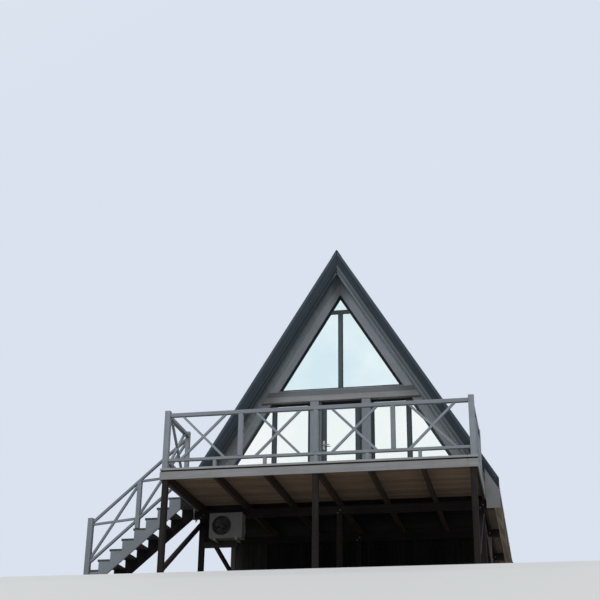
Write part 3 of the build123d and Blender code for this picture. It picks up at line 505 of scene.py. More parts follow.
# Rafters: 50 by 200 mm timbers in eleven pairs, butted at the ridge, notched over the wall
# plates and cut plumb at their tails. The pair at each verge is painted, the left one darker with
# painted shade.
ridge_height = deck_top + roof_half * math.tan(pitch)
rafter_step = 0.797
sheet_depth, boarding_depth, rafter_depth = 0.031, 0.055, 0.255


def roof_x(depth, height):
    """How far from the middle line a roof layer lies, at a height."""
    return roof_half - depth / math.sin(pitch) - (height - deck_top) / math.tan(pitch)


def roof_z(depth, place):
    """How high a roof layer lies, at a distance from the middle line."""
    return deck_top + (roof_half - depth / math.sin(pitch) - place) * math.tan(pitch)


def on_roof(side, down, depth, y):
    """A point on a slope, by its distance down from the ridge and its depth below the sheets."""
    return Vector((side * (down * math.cos(pitch) - depth * math.sin(pitch)), y,
                   ridge_height - down * math.sin(pitch) - depth * math.cos(pitch)))


def layer(side, t0, t1, upper, lower, y):
    """The end of a board that lies on a slope, between two distances down and two depths."""
    return [on_roof(side, t, depth, y)
            for t, depth in ((t0, upper), (t1, upper), (t1, lower), (t0, lower))]


def up_slope(side):
    """The direction up a slope."""
    return Vector((-side * math.cos(pitch), 0, math.sin(pitch)))


def flipped(points, side):
    """An outline on the left (-1) or the right (1)."""
    return [(side * x, z) for x, z in points]


rafter_wood = timber_finish("rafter_wood", (0.290, 0.248, 0.185), (0.165, 0.135, 0.096),
                            (0.092, 0.085, 0.072), 0.4, 0.75, 0.8, 0.5, shine=0.15)
tail = 3.0
ridge_gap = 0.0003
rafter_outline = [
    (ridge_gap, roof_z(boarding_depth, 0)), (tail, roof_z(boarding_depth, tail)),
    (tail, roof_z(rafter_depth, tail)), (plate_outer, roof_z(rafter_depth, plate_outer)),
    (plate_outer, joist_top), (roof_x(rafter_depth, joist_top), joist_top),
    (ridge_gap, roof_z(rafter_depth, 0)),
]
verge_grey = painted("verge_grey", (0.098, 0.118, 0.132), (0.070, 0.086, 0.097),
                     (0.066, 0.072, 0.075), shine=0.12)
# Painted shade: a darker copy of the verge grey, for the left verge's rafter and strip.
verge_painted_shade = painted("verge_painted_shade", (0.027, 0.038, 0.047), (0.018, 0.027, 0.034),
                     (0.032, 0.038, 0.042), shine=0.12)
rafters = Timbers(11)
verge_rafters = {-1: Timbers(92), 1: Timbers(88)}
for i in range(11):
    y = roof_front + rafter_step * i
    for side in (-1, 1):
        group = verge_rafters[side] if i in (0, 10) else rafters
        group.across(flipped(rafter_outline, side), y, y + 0.05, up_slope(side))
rafters.piece("rafter_timbers", "bare_boards", rafter_wood, "rafters")
verge_rafters[-1].piece("left_verge_rafters", "dark_paint", verge_painted_shade, "rafters")
verge_rafters[1].piece("right_verge_rafters", "dark_paint", verge_grey, "rafters")

# Roof boarding: 25 mm rough boards nailed across the rafters to carry the sheets. The lowest
# ones show from below, brown between the rafter tails.
boarding = Timbers(12)
for side in (-1, 1):
    for i in range(41):
        t0 = 0.095 + 0.1389 * i
        t1 = t0 + 0.1379
        meet = roof_front + rafter_step * boarding.chance.randint(3, 7) + 0.025
        for y0, y1 in ((roof_front, meet - hair), (meet + hair, roof_back)):
            boarding.cut(layer(side, t0, t1, sheet_depth, boarding_depth, y0),
                         (0, y1 - y0, 0), (0, 1, 0), 0.002)
boarding.piece("roof_boards", "bare_boards", rafter_wood, "roof_boarding")


# Roof sheets: thin steel pressed into ribs every 200 mm, coated dark blue-grey, one length
# from ridge to eave. A capped screw with a rubber washer holds each rib at every batten line.
def coated_steel(name, colour, dust, dull=0.42, dusting=0.25, shine=0.4):
    """Steel with a factory coat: faint unevenness, dust in soft runs, a satin gloss."""
    finish, tree, shader = new_finish(name)
    place = on_object(tree)
    clouds = blotches(tree, place, 2.3, 6.0, 0.6)
    runs = blotches(tree, stretched(tree, place, (9.0, 9.0, 0.9)), 1.0, 5.0, 0.6, 0.4)
    deep = tuple(c * 0.8 for c in colour)
    tone = stir(tree, span(tree, clouds, 0.35, 0.65, 0.0, 1.0), (*deep, 1), (*colour, 1))
    tone = stir(tree, span(tree, runs, 0.5, 0.8, 0.0, dusting), tone, (*dust, 1))
    tree.links.new(tone, shader.inputs["Base Color"])
    tree.links.new(span(tree, runs, 0.35, 0.75, dull - 0.05, dull + 0.2),
                   shader.inputs["Roughness"])
    emboss(tree, shader, 0.08, 0.0004, blotches(tree, place, 420.0, 2.0))
    shader.inputs["Specular IOR Level"].default_value = shine
    return finish


roof_coat = coated_steel("roof_coat", (0.030, 0.046, 0.068), (0.085, 0.095, 0.105), shine=0.25)
foot_down = 5.795
rib_pitch = 0.2005
rib_count = 40
flat = 0.0285
profile = [(roof_front, flat)]
for i in range(rib_count):
    y = roof_front + rib_pitch * (i + 0.5)
    profile += [(y - 0.032, flat), (y - 0.014, 0.002), (y + 0.014, 0.002), (y + 0.032, flat)]
    if i < rib_count - 1:
        for shift in (-0.012, 0.012):
            middle = y + rib_pitch / 2 + shift
            profile += [(middle - 0.006, flat), (middle, 0.0262), (middle + 0.006, flat)]
profile.append((roof_back, flat))
for side, word in ((-1, "left"), (1, "right")):
    sheet = Fittings()
    for skin in (0.0, 0.0012):
        sheet.strip([[on_roof(side, down, depth + skin, y) for y, depth in profile]
                     for down in (0.055, 2.0, 4.0, foot_down - 0.02)])
    sheet.strip([[on_roof(side, foot_down - 0.02, depth + skin, y) for y, depth in profile]
                 for skin in (0.0, 0.0012)])
    sheet.piece(word + "_roof_sheets", "roof_metal", roof_coat, word + "_roof_sheet")
    caps = Fittings()
    out = Vector((side * math.sin(pitch), 0, math.cos(pitch)))
    for i in range(rib_count):
        y = roof_front + rib_pitch * (i + 0.5)
        for j in range(8):
            spot = on_roof(side, 0.32 + 0.76 * j, 0.002, y)
            caps.disc(spot, out, 0.007, 0.0015, 10)
            caps.disc(spot + out * 0.0015, out, 0.0045, 0.003, 6, 0.2, 0.9)
    caps.piece(word + "_roof_screws", "roof_metal", roof_coat)

# Ridge cap: strips of the same steel folded over both slopes, hemmed along their lower
# edges, lapped every two metres and screwed down, with a foam filler between the ribs.
cap = Fittings()
wing = 0.19
cap_step = 2.0175
verge_thickness = 0.025
for i in range(4):
    y0 = roof_front - verge_thickness + cap_step * i
    y1 = min(y0 + cap_step + (0.07 if i < 3 else 0), roof_back + verge_thickness)
    lift = -0.0046 if i % 2 == 0 else -0.0024
    for skin in (0.0, 0.0011):
        d = lift + skin
        line = [on_roof(-1, wing, d + 0.007, 0), on_roof(-1, wing, d, 0), on_roof(-1, 0.02, d, 0),
                on_roof(1, 0.0, d, 0), on_roof(1, 0.02, d, 0), on_roof(1, wing, d, 0),
                on_roof(1, wing, d + 0.007, 0)]
        line[3] = Vector((0, 0, (line[2].z + line[4].z) / 2 + 0.011))
        cap.strip([[p + Vector((0, y, 0)) for p in line] for y in (y0, y1)])
    for j in range(5):
        y = y0 + 0.2 + 0.4 * j
        for side in (-1, 1):
            out = Vector((side * math.sin(pitch), 0, math.cos(pitch)))
            spot = on_roof(side, wing - 0.035, lift, y)
            cap.disc(spot, out, 0.0065, 0.0012, 10)
            cap.disc(spot + out * 0.0012, out, 0.004, 0.001, 6)
cap.piece("ridge_strips", "roof_metal", roof_coat, "ridge_cap")
filler = Timbers(13)
for side in (-1, 1):
    filler.cut(layer(side, wing - 0.055, wing - 0.025, -0.0015, 0.028, roof_front),
               (0, roof_back - roof_front, 0), (0, 1, 0), 0.002)
foam = coated_steel("filler_foam", (0.020, 0.021, 0.023), (0.060, 0.060, 0.058), 0.85)
filler.piece("ridge_filler", "unit_dark", foam)

# Verge boards: 170 mm boards painted dark slate up both rakes, a narrow strip under each, and
# a folded strip of the roof's steel over the top. Grey boards close the eaves' ends below them.
slate_paint = painted("slate_paint", (0.026, 0.038, 0.050), (0.016, 0.025, 0.034),
                      (0.036, 0.044, 0.052), soiling=0.3, relief=0.22, contrast=0.7, shine=0.12)
verges = Timbers(14)
verge_strips = {-1: Timbers(97), 1: Timbers(87)}
eave_ends = Timbers(15)
trim = Fittings()
eave_inner, verge_foot, verge_split = 2.7755, 3.03, 0.118
board_low = 0.17
closing_foot = 1.475
# Where an outline meets the ridge, its height is the one on the middle line.
verge_outline = [(x, roof_z(depth, x if x > 1 else 0)) for x, depth in (
    (ridge_gap, 0.0), (verge_foot, 0.0), (verge_foot, verge_split), (eave_inner, verge_split),
    (eave_inner, board_low), (ridge_gap, board_low))]
strip_outline = [(x, roof_z(depth, x if x > 1 else 0)) for x, depth in (
    (ridge_gap, board_low + 0.001), (eave_inner, board_low + 0.001),
    (eave_inner, 0.22), (ridge_gap, 0.22))]
closing_outline = [(eave_inner + 0.001, closing_foot), (verge_foot, closing_foot),
                   (verge_foot, roof_z(verge_split + 0.001, verge_foot)),
                   (eave_inner + 0.001, roof_z(verge_split + 0.001, eave_inner))]
for y0, out in ((roof_front - verge_thickness, -1), (roof_back, 1)):
    face = y0 if out < 0 else y0 + verge_thickness
    for side in (-1, 1):
        verges.across(flipped(verge_outline, side), y0 + 0.002, y0 + 0.023, up_slope(side), 0.003)
        y1, y2 = sorted((face - out * 0.008, face - out * 0.024))
        verge_strips[side].across(flipped(strip_outline, side), y1, y2, up_slope(side), 0.002)
        eave_ends.across(flipped(closing_outline, side), y0 + 0.002, y0 + verge_thickness,
                         (0, 0, 1), 0.003)
        for skin in (0.0, 0.001):
            lines = []
            for down in (0.06, 5.77):
                lines.append([on_roof(side, down, 0.052, face - out * skin),
                              on_roof(side, down, 0.0005 + skin, face - out * skin),
                              on_roof(side, down, 0.0005 + skin, face - out * 0.075),
                              on_roof(side, down, 0.012, face - out * 0.078)])
            trim.strip(lines)
verges.piece("verge_planks", "dark_paint", slate_paint, "verge_boards")
verge_strips[-1].piece("left_verge_strips", "dark_paint", verge_painted_shade, "verge_boards")
verge_strips[1].piece("right_verge_strips", "dark_paint", verge_grey, "verge_boards")
eave_ends.piece("eave_closing_boards", "light_paint", worn_paint, "eave_end_boards")
trim.piece("verge_trim", "roof_metal", roof_coat)

# Lining: 120 mm tongued boards under the rafters. They are oiled softwood indoors and painted
# grey under both overhangs, with painted shade darkening them towards the verges, most on
# the left.
indoors = Timbers(16)
outdoors = Timbers(17)
for side in (-1, 1):
    for i in range(45):
        t0 = 0.4505 + 0.1207 * i
        t1 = t0 + 0.1202
        for group, y0, y1 in ((outdoors, roof_front, gable_front),
                              (indoors, gable_front, rear_face),
                              (outdoors, rear_face, roof_back)):
            group.cut(layer(side, t0, t1, rafter_depth + hair, lining_depth, y0),
                      (0, y1 - y0, 0), (0, 1, 0), 0.0022)
indoors.piece("lining_boards", "inner_boards", inner_wood, "roof_lining")
soffit_paint = painted("soffit_paint", (0.350, 0.405, 0.445), (0.262, 0.308, 0.340),
                       (0.190, 0.196, 0.194), spread=0.10, shine=0.15)
# Painted shade: the grey darkens near the verges, fully on the left slope and half as much on the
# right.
tree = soffit_paint.node_tree
shader = tree.nodes["Principled BSDF"]
unshaded_colour = shader.inputs["Base Color"].links[0].from_socket
split = put(tree, "ShaderNodeSeparateXYZ", {"Vector": on_object(tree)})
depth = split.outputs[1]
left_side = span(tree, split.outputs[0], -0.1, 0.1, 1.0, 0.5)
from_middle = put(tree, "ShaderNodeMath", {0: depth, 1: (roof_front + roof_back) / 2},
                  operation="SUBTRACT").outputs[0]
from_middle = put(tree, "ShaderNodeMath", {0: from_middle}, operation="ABSOLUTE").outputs[0]
reach = (roof_back - roof_front) / 2
near_verge = span(tree, from_middle, reach - 0.36, reach - 0.03, 0.0, 1.0)
painted_shade = put(tree, "ShaderNodeMath", {0: near_verge, 1: left_side}, operation="MULTIPLY").outputs[0]
tree.links.new(stir(tree, painted_shade, unshaded_colour, (0.026, 0.034, 0.041, 1)), shader.inputs["Base Color"])
outdoors.piece("soffit_boards", "dark_paint", soffit_paint, "roof_lining")

# Loft: ties of 50 by 150 mm between each pair of rafters, with 40 mm tongued boards on top
# that reach from gable to gable.
ties = Timbers(18)
tie_top = 4.04
tie_foot = 3.89
for i in range(1, 10):
    y = roof_front + rafter_step * i
    low, high = roof_x(lining_depth, tie_foot), roof_x(lining_depth, tie_top)
    ties.across([(-low, tie_foot), (low, tie_foot), (high, tie_top), (-high, tie_top)],
                y, y + 0.05, (1, 0, 0), 0.004)
ties.piece("tie_timbers", "inner_boards", inner_wood, "loft_ties")
loft_level = 4.08
gable_back, rear_inside = 2.72, 9.68
loft = Timbers(19)
count = 22
loft_half = roof_x(lining_depth, loft_level)
width = 2 * loft_half / count
for i in range(count):
    x = -loft_half + width * i
    loft.block(x + 0.0004, x + width - 0.0004, gable_back, rear_inside, tie_top, loft_level,
               (0, 1, 0), 0.002)
loft.piece("loft_planks", "inner_boards", inner_wood, "loft_floor")

# Gable frame: 155 mm boards up both rakes, two beams between the storeys with the lower one
# standing proud, and a pair of posts beside the door. All is planed timber painted grey, the
# upper beam's grey darkened with painted shade.
grey_paint = painted("grey_paint", (0.318, 0.351, 0.381), (0.236, 0.264, 0.290),
                     (0.150, 0.151, 0.147), dull=0.55, shine=0.2)
# Painted shade: a darker copy of the grey paint, for the upper beam.
shaded_beam_paint = painted("shaded_beam_paint", (0.160, 0.180, 0.200), (0.118, 0.134, 0.149),
                     (0.095, 0.096, 0.092), dull=0.55, shine=0.2)
storey_top = 3.85
beam_meet = 3.97
rake_inside = 0.43
bar_inside = 0.47


def rake_boards(group, front, back):
    """The boards up both rakes of a gable, below its beams and from the loft to the ridge."""
    outer, low, high, loft_foot = 0.2755, deck_top, storey_top - hair, loft_level + hair
    lower = [(roof_x(rake_inside, low), low), (roof_x(outer, low), low),
             (roof_x(outer, high), high), (roof_x(rake_inside, high), high)]
    upper = [(roof_x(rake_inside, loft_foot), loft_foot), (roof_x(outer, loft_foot), loft_foot),
             (hair, roof_z(outer, hair)), (hair, roof_z(rake_inside, hair))]
    for side in (-1, 1):
        for outline in (lower, upper):
            group.across(flipped(outline, side), front, back, up_slope(side), 0.004)


def level_beam(low, high):
    """A beam that fills the gable between two heights."""
    wide, narrow = roof_x(lining_depth, low), roof_x(lining_depth, high)
    return [(-wide, low), (wide, low), (narrow, high), (-narrow, high)]


rakes = Timbers(20)
rake_boards(rakes, gable_front, gable_back)
rakes.piece("rake_planks", "grey_paint", grey_paint, "front_rake_boards")
beam = Timbers(21)
beam.across(level_beam(storey_top, beam_meet - 0.001), 2.54, gable_back, (1, 0, 0), 0.005)
beam.piece("lower_beam_timber", "light_paint", worn_paint, "front_lower_beam")
beam = Timbers(22)
beam.across(level_beam(beam_meet, loft_level), 2.57, gable_back, (1, 0, 0), 0.005)
beam.piece("upper_beam_timber", "grey_paint", shaded_beam_paint, "front_upper_beam")
post_paint = painted("post_paint", (0.208, 0.242, 0.268), (0.158, 0.186, 0.208),
                     (0.120, 0.120, 0.114), dull=0.55, spread=0.06)
posts = Timbers(23)
for x0, x1 in ((-0.605, -0.43), (0.43, 0.605)):
    posts.block(x0, x1, 2.55, gable_back, deck_top, storey_top - hair, (0, 0, 1), 0.005)
posts.piece("door_post_timbers", "grey_paint", post_paint, "door_posts")


# Loft window: black bars up both rakes, a grey bar along the foot, a small transom near the
# point and a slate mullion with a narrow cover strip down its face. Beads hold the panes.
def frame_coat(name, colour):
    """Matt black powder coat with a faint grain and fingers of dust."""
    return coated_steel(name, colour, tuple(c * 1.6 + 0.01 for c in colour), 0.5, 0.2, 0.12)


def shrunk(points, inset):
    """A convex outline with every side moved in by the same distance."""
    count = len(points)
    middle = Vector((sum(p[0] for p in points) / count, sum(p[1] for p in points) / count))
    lines = []
    for i in range(count):
        a, b = Vector(points[i]), Vector(points[(i + 1) % count])
        inward = Vector((-(b - a).y, (b - a).x)).normalized()
        if (middle - a).dot(inward) < 0:
            inward.negate()
        lines.append((a + inward * inset, b - a))
    corners = []
    for i in range(count):
        (a, d), (b, e) = lines[i - 1], lines[i]
        t = ((b - a).x * e.y - (b - a).y * e.x) / (d.x * e.y - d.y * e.x)
        corners.append(tuple(a + d * t))
    return corners


def ring(timbers, points, width, y0, y1, start=0.0, ease=0.0012):
    """Mitred strips all round the inside of an outline, from a first inset."""
    outer = shrunk(points, start) if start else points
    inner = shrunk(points, start + width)
    for i in range(len(points)):
        after = (i + 1) % len(points)
        run = (outer[after][0] - outer[i][0], 0, outer[after][1] - outer[i][1])
        timbers.across([outer[i], outer[after], inner[after], inner[i]], y0, y1, run, ease)


black_coat = frame_coat("black_coat", (0.013, 0.017, 0.023))
slate_coat = frame_coat("slate_coat", (0.055, 0.078, 0.091))
grey_coat = frame_coat("grey_coat", (0.190, 0.208, 0.225))
seal_black = frame_coat("seal_black", (0.006, 0.006, 0.007))
mullion_coat = frame_coat("mullion_coat", (0.070, 0.102, 0.112))


def coated_glass(name, deep, bright):
    """Glass with a thin mirror film of uneven tint, wiped in faint upright smears."""
    finish, tree, shader = new_finish(name)
    place = on_object(tree)
    film = span(tree, blotches(tree, place, 0.8, 3.0), 0.35, 0.65, 0.0, 1.0)
    tree.links.new(stir(tree, film, (*deep, 1), (*bright, 1)), shader.inputs["Base Color"])
    smears = blotches(tree, stretched(tree, place, (5.0, 5.0, 1.1)), 1.0, 5.0, 0.6, 0.6)
    tree.links.new(span(tree, smears, 0.45, 0.8, 0.015, 0.09), shader.inputs["Roughness"])
    emboss(tree, shader, 0.05, 0.002, blotches(tree, place, 1.6, 1.0))
    shader.inputs["Metallic"].default_value = 0.92
    shader.inputs["Transmission Weight"].default_value = 1.0
    shader.inputs["IOR"].default_value = 1.5
    return finish


blue_glass = coated_glass("blue_glass", (0.70, 0.87, 0.94), (0.85, 0.97, 1.0))
white_glass = coated_glass("white_glass", (0.86, 0.95, 0.96), (0.95, 0.99, 0.99))
frame_depth = 0.05


def glaze(panes, spacers, points, frame_front):
    """A sealed unit: two panes 16 mm apart, a dark spacer between them near the edge."""
    front = frame_front + 0.013
    for y in (front, front + 0.020):
        panes.across(points, y, y + 0.004, (1, 0, 0), 0.0008)
    ring(spacers, points, 0.011, front + 0.004, front + 0.020, 0.004, 0.0008)


def bead_round(beads, points, front):
    """Beads round a pane, 3 mm behind both faces of its frame."""
    for y in (front + 0.003, front + frame_depth - 0.0125):
        ring(beads, points, 0.012, y, y + 0.0095)


def loft_window(seeds, front, outward):
    """A loft window from its front face: its bars, strips, beads, panes and spacers."""
    parts = [Timbers(seed) for seed in seeds]
    bars, mullions, strips, beads, foot_bars, panes, spacers = parts
    back = front + frame_depth
    sill = loft_level + 0.045
    top = roof_z(bar_inside, 0) - 0.273
    foot = top - 0.062
    at_foot, at_top = roof_x(bar_inside, foot), roof_x(bar_inside, top)
    wide, narrow = roof_x(rake_inside, loft_level) - hair, roof_x(rake_inside, sill) - hair
    foot_bars.across([(-wide, loft_level), (wide, loft_level), (narrow, sill), (-narrow, sill)],
                     front, back, (1, 0, 0))
    for side in (-1, 1):
        outline = [(roof_x(bar_inside, sill) - hair, sill + hair), (narrow, sill + hair),
                   (hair, roof_z(rake_inside, 2 * hair)), (hair, roof_z(bar_inside, 2 * hair))]
        bars.across(flipped(outline, side), front, back, up_slope(side))
    mullions.across([(-at_foot + 0.001, foot), (at_foot - 0.001, foot),
                     (at_top - 0.001, top), (-at_top + 0.001, top)], front, back, (1, 0, 0))
    mullions.block(-0.0375, 0.0375, front, back, sill + hair, foot - hair, (0, 0, 1))
    face = front if outward < 0 else back
    strips.block(-0.019, 0.019, face, face + outward * 0.01, sill + 0.004, foot - 0.004,
                 (0, 0, 1), 0.002)
    low = sill + 2 * hair
    lights = []
    for side in (-1, 1):
        lights.append(flipped([
            (0.0385, low), (roof_x(bar_inside, low) - 0.0015, low),
            (at_foot - 0.0015, foot - 2 * hair), (0.0385, foot - 2 * hair)], side))
    lights.append([(-at_top + 0.0015, top + 2 * hair), (at_top - 0.0015, top + 2 * hair),
                   (0, roof_z(bar_inside, 0.002))])
    for points in lights:
        bead_round(beads, points, front)
        glaze(panes, spacers, points, front)
    return parts


bars, mullions, strips, beads, foot_bars, panes, spacers = loft_window(
    (24, 25, 26, 27, 86, 28, 29), 2.63, -1)
bars.piece("loft_window_bars", "black_frame", black_coat, "loft_window_frame")
foot_bars.piece("loft_foot_bar", "black_frame", grey_coat, "loft_window_frame")
mullions.piece("loft_mullion", "black_frame", mullion_coat, "loft_window_frame")
strips.piece("loft_mullion_strip", "black_frame", mullion_coat)
beads.piece("loft_beads", "black_frame", black_coat)
panes.piece("loft_panes", "window_glass", blue_glass, "loft_window_glass")
spacers.piece("loft_spacers", "black_frame", seal_black)

# Windows beside the door: each has a tall pane, a mullion under the corner of the rake and a
# pane cut to the slope. The frames sit 70 mm back, and their head bars are black, painted shade
# for the dark line under the beam.
lower_front = 2.67
bar_foot = deck_top + 0.08
bar_head = storey_top - 0.025
post_edge, stile = 0.6055, 0.655
mullion_far = roof_x(bar_inside, bar_head) + 0.006
mullion_near = mullion_far - 0.08
bars, beads, panes, spacers = Timbers(30), Timbers(31), Timbers(32), Timbers(33)
heads_in_painted_shade = Timbers(98)
for side in (-1, 1):
    back = lower_front + frame_depth
    outer_foot = roof_x(rake_inside, bar_foot) - hair
    outer_head = roof_x(rake_inside, bar_head) - hair
    low, high = bar_foot + hair, bar_head - hair
    for outline, run in (
        ([(post_edge, deck_top), (roof_x(rake_inside, deck_top) - hair, deck_top),
          (outer_foot, bar_foot), (post_edge, bar_foot)], (1, 0, 0)),
        ([(post_edge, low), (stile, low), (stile, high), (post_edge, high)], (0, 0, 1)),
        ([(roof_x(bar_inside, bar_foot) - hair, low), (outer_foot, low),
          (outer_head, high), (roof_x(bar_inside, bar_head) - hair, high)], up_slope(side)),
        ([(mullion_near, low), (mullion_far, low),
          (mullion_far, roof_z(bar_inside, mullion_far + 0.001)),
          (roof_x(bar_inside, bar_head) - 0.001, high), (mullion_near, high)], (0, 0, 1)),
    ):
        bars.across(flipped(outline, side), lower_front, back, run)
    heads_in_painted_shade.across(flipped([(post_edge, bar_head), (outer_head, bar_head),
                          (roof_x(rake_inside, storey_top) - hair, storey_top - hair),
                          (post_edge, storey_top - hair)], side), lower_front, back, (1, 0, 0))
    for points in (
        [(stile + hair, bar_foot + 0.001), (mullion_near - hair, bar_foot + 0.001),
         (mullion_near - hair, bar_head - 0.001), (stile + hair, bar_head - 0.001)],
        [(mullion_far + hair, bar_foot + 0.001),
         (roof_x(bar_inside, bar_foot) - 0.0015, bar_foot + 0.001),
         (mullion_far + hair, roof_z(bar_inside, mullion_far + 0.002))],
    ):
        points = flipped(points, side)
        glaze(panes, spacers, points, lower_front)
        bead_round(beads, points, lower_front)
bars.piece("front_window_bars", "black_frame", slate_coat, "front_window_frames")
# Painted shade: the head bars are black where the other bars are slate.
heads_in_painted_shade.piece("front_window_heads", "black_frame", black_coat, "front_window_frames")
beads.piece("front_window_beads", "black_frame", black_coat)
panes.piece("front_window_panes", "window_glass", white_glass, "front_window_glass")
spacers.piece("front_window_spacers", "black_frame", seal_black)

# Door frame: a slate jamb on the hinge side, a jamb painted grey by the handle, a head made
# black as painted shade under the beam, a pale sill plate with grooves for the feet, and a soft
# black seal that the door shuts against.
jamb_front = 2.65
doorway = 0.3895        # from its middle to a jamb
frame_head = storey_top - 0.04
seal_front, seal_back = 2.652, 2.661
left_jamb, right_jamb, door_top = Timbers(84), Timbers(34), Timbers(99)
sill_plate, seals = Timbers(35), Timbers(36)
for group, x in ((left_jamb, -0.43), (right_jamb, 0.39)):
    group.block(x, x + 0.04, jamb_front, gable_back, deck_top, storey_top, (0, 0, 1))
door_top.block(-doorway, doorway, jamb_front, gable_back, frame_head, storey_top, (1, 0, 0))
sill_plate.block(-doorway, doorway, jamb_front, gable_back, deck_top, deck_top + 0.011,
                 (1, 0, 0), 0.002)
for i in range(6):
    y = 2.655 + 0.0105 * i
    sill_plate.block(-doorway, doorway, y, y + 0.006, deck_top + 0.0105, deck_top + 0.015,
                     (1, 0, 0), 0.001)
for x in (-0.3898, 0.3868):
    seals.block(x, x + 0.003, seal_front, seal_back, deck_top + 0.016, frame_head,
                (0, 0, 1), 0.0008)
seals.block(-0.3865, 0.3865, seal_front, seal_back, frame_head - 0.0032, frame_head - 0.0002,
            (1, 0, 0), 0.0008)
left_jamb.piece("door_left_jamb", "black_frame", grey_paint, "door_frame")
right_jamb.piece("door_right_jamb", "black_frame", slate_coat, "door_frame")
# Painted shade: the door's head is black for the dark line under the beam.
door_top.piece("door_head", "black_frame", black_coat, "door_frame")
sill_plate.piece("door_sill_plate", "steel", zinc, "door_frame")
seals.piece("door_seals", "unit_dark", seal_black)

# Door: two stiles and two rails round one tall pane, hung on the right and opening indoors.
# A lever on a long plate serves each face, and three lift-off hinges carry the leaf.
leaf, beads, panes, spacers = Timbers(37), Timbers(38), Timbers(39), Timbers(40)
leaf_front, leaf_back = 2.665, 2.715
leaf_foot, leaf_head = 1.873, 3.805
pane_left, pane_right, pane_foot, pane_head = -0.300, 0.295, 1.993, 3.715
light = [(pane_left, pane_foot), (pane_right, pane_foot),
         (pane_right, pane_head), (pane_left, pane_head)]
for x0, x1 in ((-0.385, pane_left - 0.0002), (pane_right + 0.0002, 0.385)):
    leaf.block(x0, x1, leaf_front, leaf_back, leaf_foot, leaf_head, (0, 0, 1))
for z0, z1 in ((leaf_foot, pane_foot), (pane_head, leaf_head)):
    leaf.block(pane_left + 0.0002, pane_right - 0.0002, leaf_front, leaf_back, z0, z1, (1, 0, 0))
bead_round(beads, light, leaf_front)
glaze(panes, spacers, [(pane_left + hair, pane_foot + hair), (pane_right - hair, pane_foot + hair),
                       (pane_right - hair, pane_head - hair), (pane_left + hair, pane_head - hair)],
      leaf_front)
leaf.piece("door_stiles", "black_frame", slate_coat, "door_leaf", body="door")
beads.piece("door_beads", "black_frame", black_coat, body="door")
panes.piece("door_pane", "window_glass", white_glass, "door_glass", body="door")
spacers.piece("door_spacer", "black_frame", seal_black, body="door")
satin_steel = rust_free_steel("satin_steel", (0.27, 0.275, 0.28), 0.42, 0.1)


def refinish(name, finish):
    """Gives a finish to a piece that keeps its own shape."""
    nodes[name].data.materials.clear()
    nodes[name].data.materials.append(finish)


for name in ("door_handle", "hinge_pins", "hinge_knuckles"):
    refinish(name, satin_steel)
handle_x = -0.3425
handle_screws = Fittings()
for y, out in ((leaf_front - 0.008, -1), (leaf_back + 0.008, 1)):
    for z in (2.89, 3.03):
        handle_screws.disc((handle_x, y, z), (0, out, 0), 0.0045, 0.0012, 12, 0.0, 0.7)
    handle_screws.disc((handle_x, y, 2.915), (0, out, 0), 0.0095, 0.003, 18, 0.0, 0.9)
handle_screws.piece("handle_plate_screws", "steel", satin_steel, body="door")

# Back gable: the same rakes, beams and loft window, above a wall of upright tongued boards
# painted grey round one window of two lights.
rakes = Timbers(41)
rake_boards(rakes, rear_inside, rear_face)
rakes.across(level_beam(storey_top, loft_level), rear_inside, rear_face + 0.03, (1, 0, 0), 0.005)
rakes.piece("rear_gable_timbers", "grey_paint", grey_paint, "rear_gable_frame")
wall = Timbers(42)
wall_front, wall_back = 9.71, 9.77
frame_back = wall_front + frame_depth
window_foot, window_head, window_half = 2.65, 3.65, 0.5
count = 37
width = 2 * roof_x(rake_inside, deck_top) / count
for i in range(count):
    x0 = -roof_x(rake_inside, deck_top) + width * i + 0.0006
    x1 = x0 + width - 0.0012
    spans = [(deck_top, storey_top - hair)]
    if x1 > -window_half and x0 < window_half:
        spans = [(deck_top, window_foot), (window_head, storey_top - hair)]
        for low, high in ((x0, -window_half), (window_half, x1)):
            if high > low:
                wall.block(low, high, wall_front, wall_back, window_foot, window_head,
                           (0, 0, 1), 0.003)
    for low, high in spans:
        tops = [min(high, roof_z(rake_inside, abs(x)) - 0.001) for x in (x0, x1)]
        if max(tops) <= low + 0.01:
            continue
        lean = [(x0, low), (x1, low),
                (x1, max(tops[1], low + 0.002)), (x0, max(tops[0], low + 0.002))]
        wall.across(lean, wall_front, wall_back, (0, 0, 1), 0.003)
wall.piece("rear_wall_boards", "grey_paint", grey_paint, "rear_wall")
bars, mullions, strips, beads, foot_bars, panes, spacers = loft_window(
    (43, 44, 45, 46, 85, 47, 48), 9.72, 1)
for x in (-window_half + hair, -0.02, window_half - 0.0405):
    bars.block(x, x + 0.04, wall_front, frame_back, window_foot + 0.041, window_head - 0.041,
               (0, 0, 1))
for z in (window_foot + hair, window_head - 0.0405):
    bars.block(-window_half + hair, window_half - hair, wall_front, frame_back, z, z + 0.04,
               (1, 0, 0))
for side in (-1, 1):
    low, high = window_foot + 0.0415, window_head - 0.0415
    points = flipped([(0.0205, low), (0.459, low), (0.459, high), (0.0205, high)], side)
    glaze(panes, spacers, points, wall_front)
    bead_round(beads, points, wall_front)
bars.piece("rear_window_bars", "black_frame", black_coat, "rear_window_frames")
foot_bars.piece("rear_loft_foot_bar", "black_frame", grey_coat, "rear_window_frames")
mullions.piece("rear_mullion", "black_frame", mullion_coat, "rear_window_frames")
strips.piece("rear_mullion_strip", "black_frame", mullion_coat)
beads.piece("rear_beads", "black_frame", black_coat)
panes.piece("rear_panes", "window_glass", blue_glass, "rear_window_glass")
spacers.piece("rear_spacers", "black_frame", seal_black)
casing = Timbers(49)
casing_top = window_head + 0.08
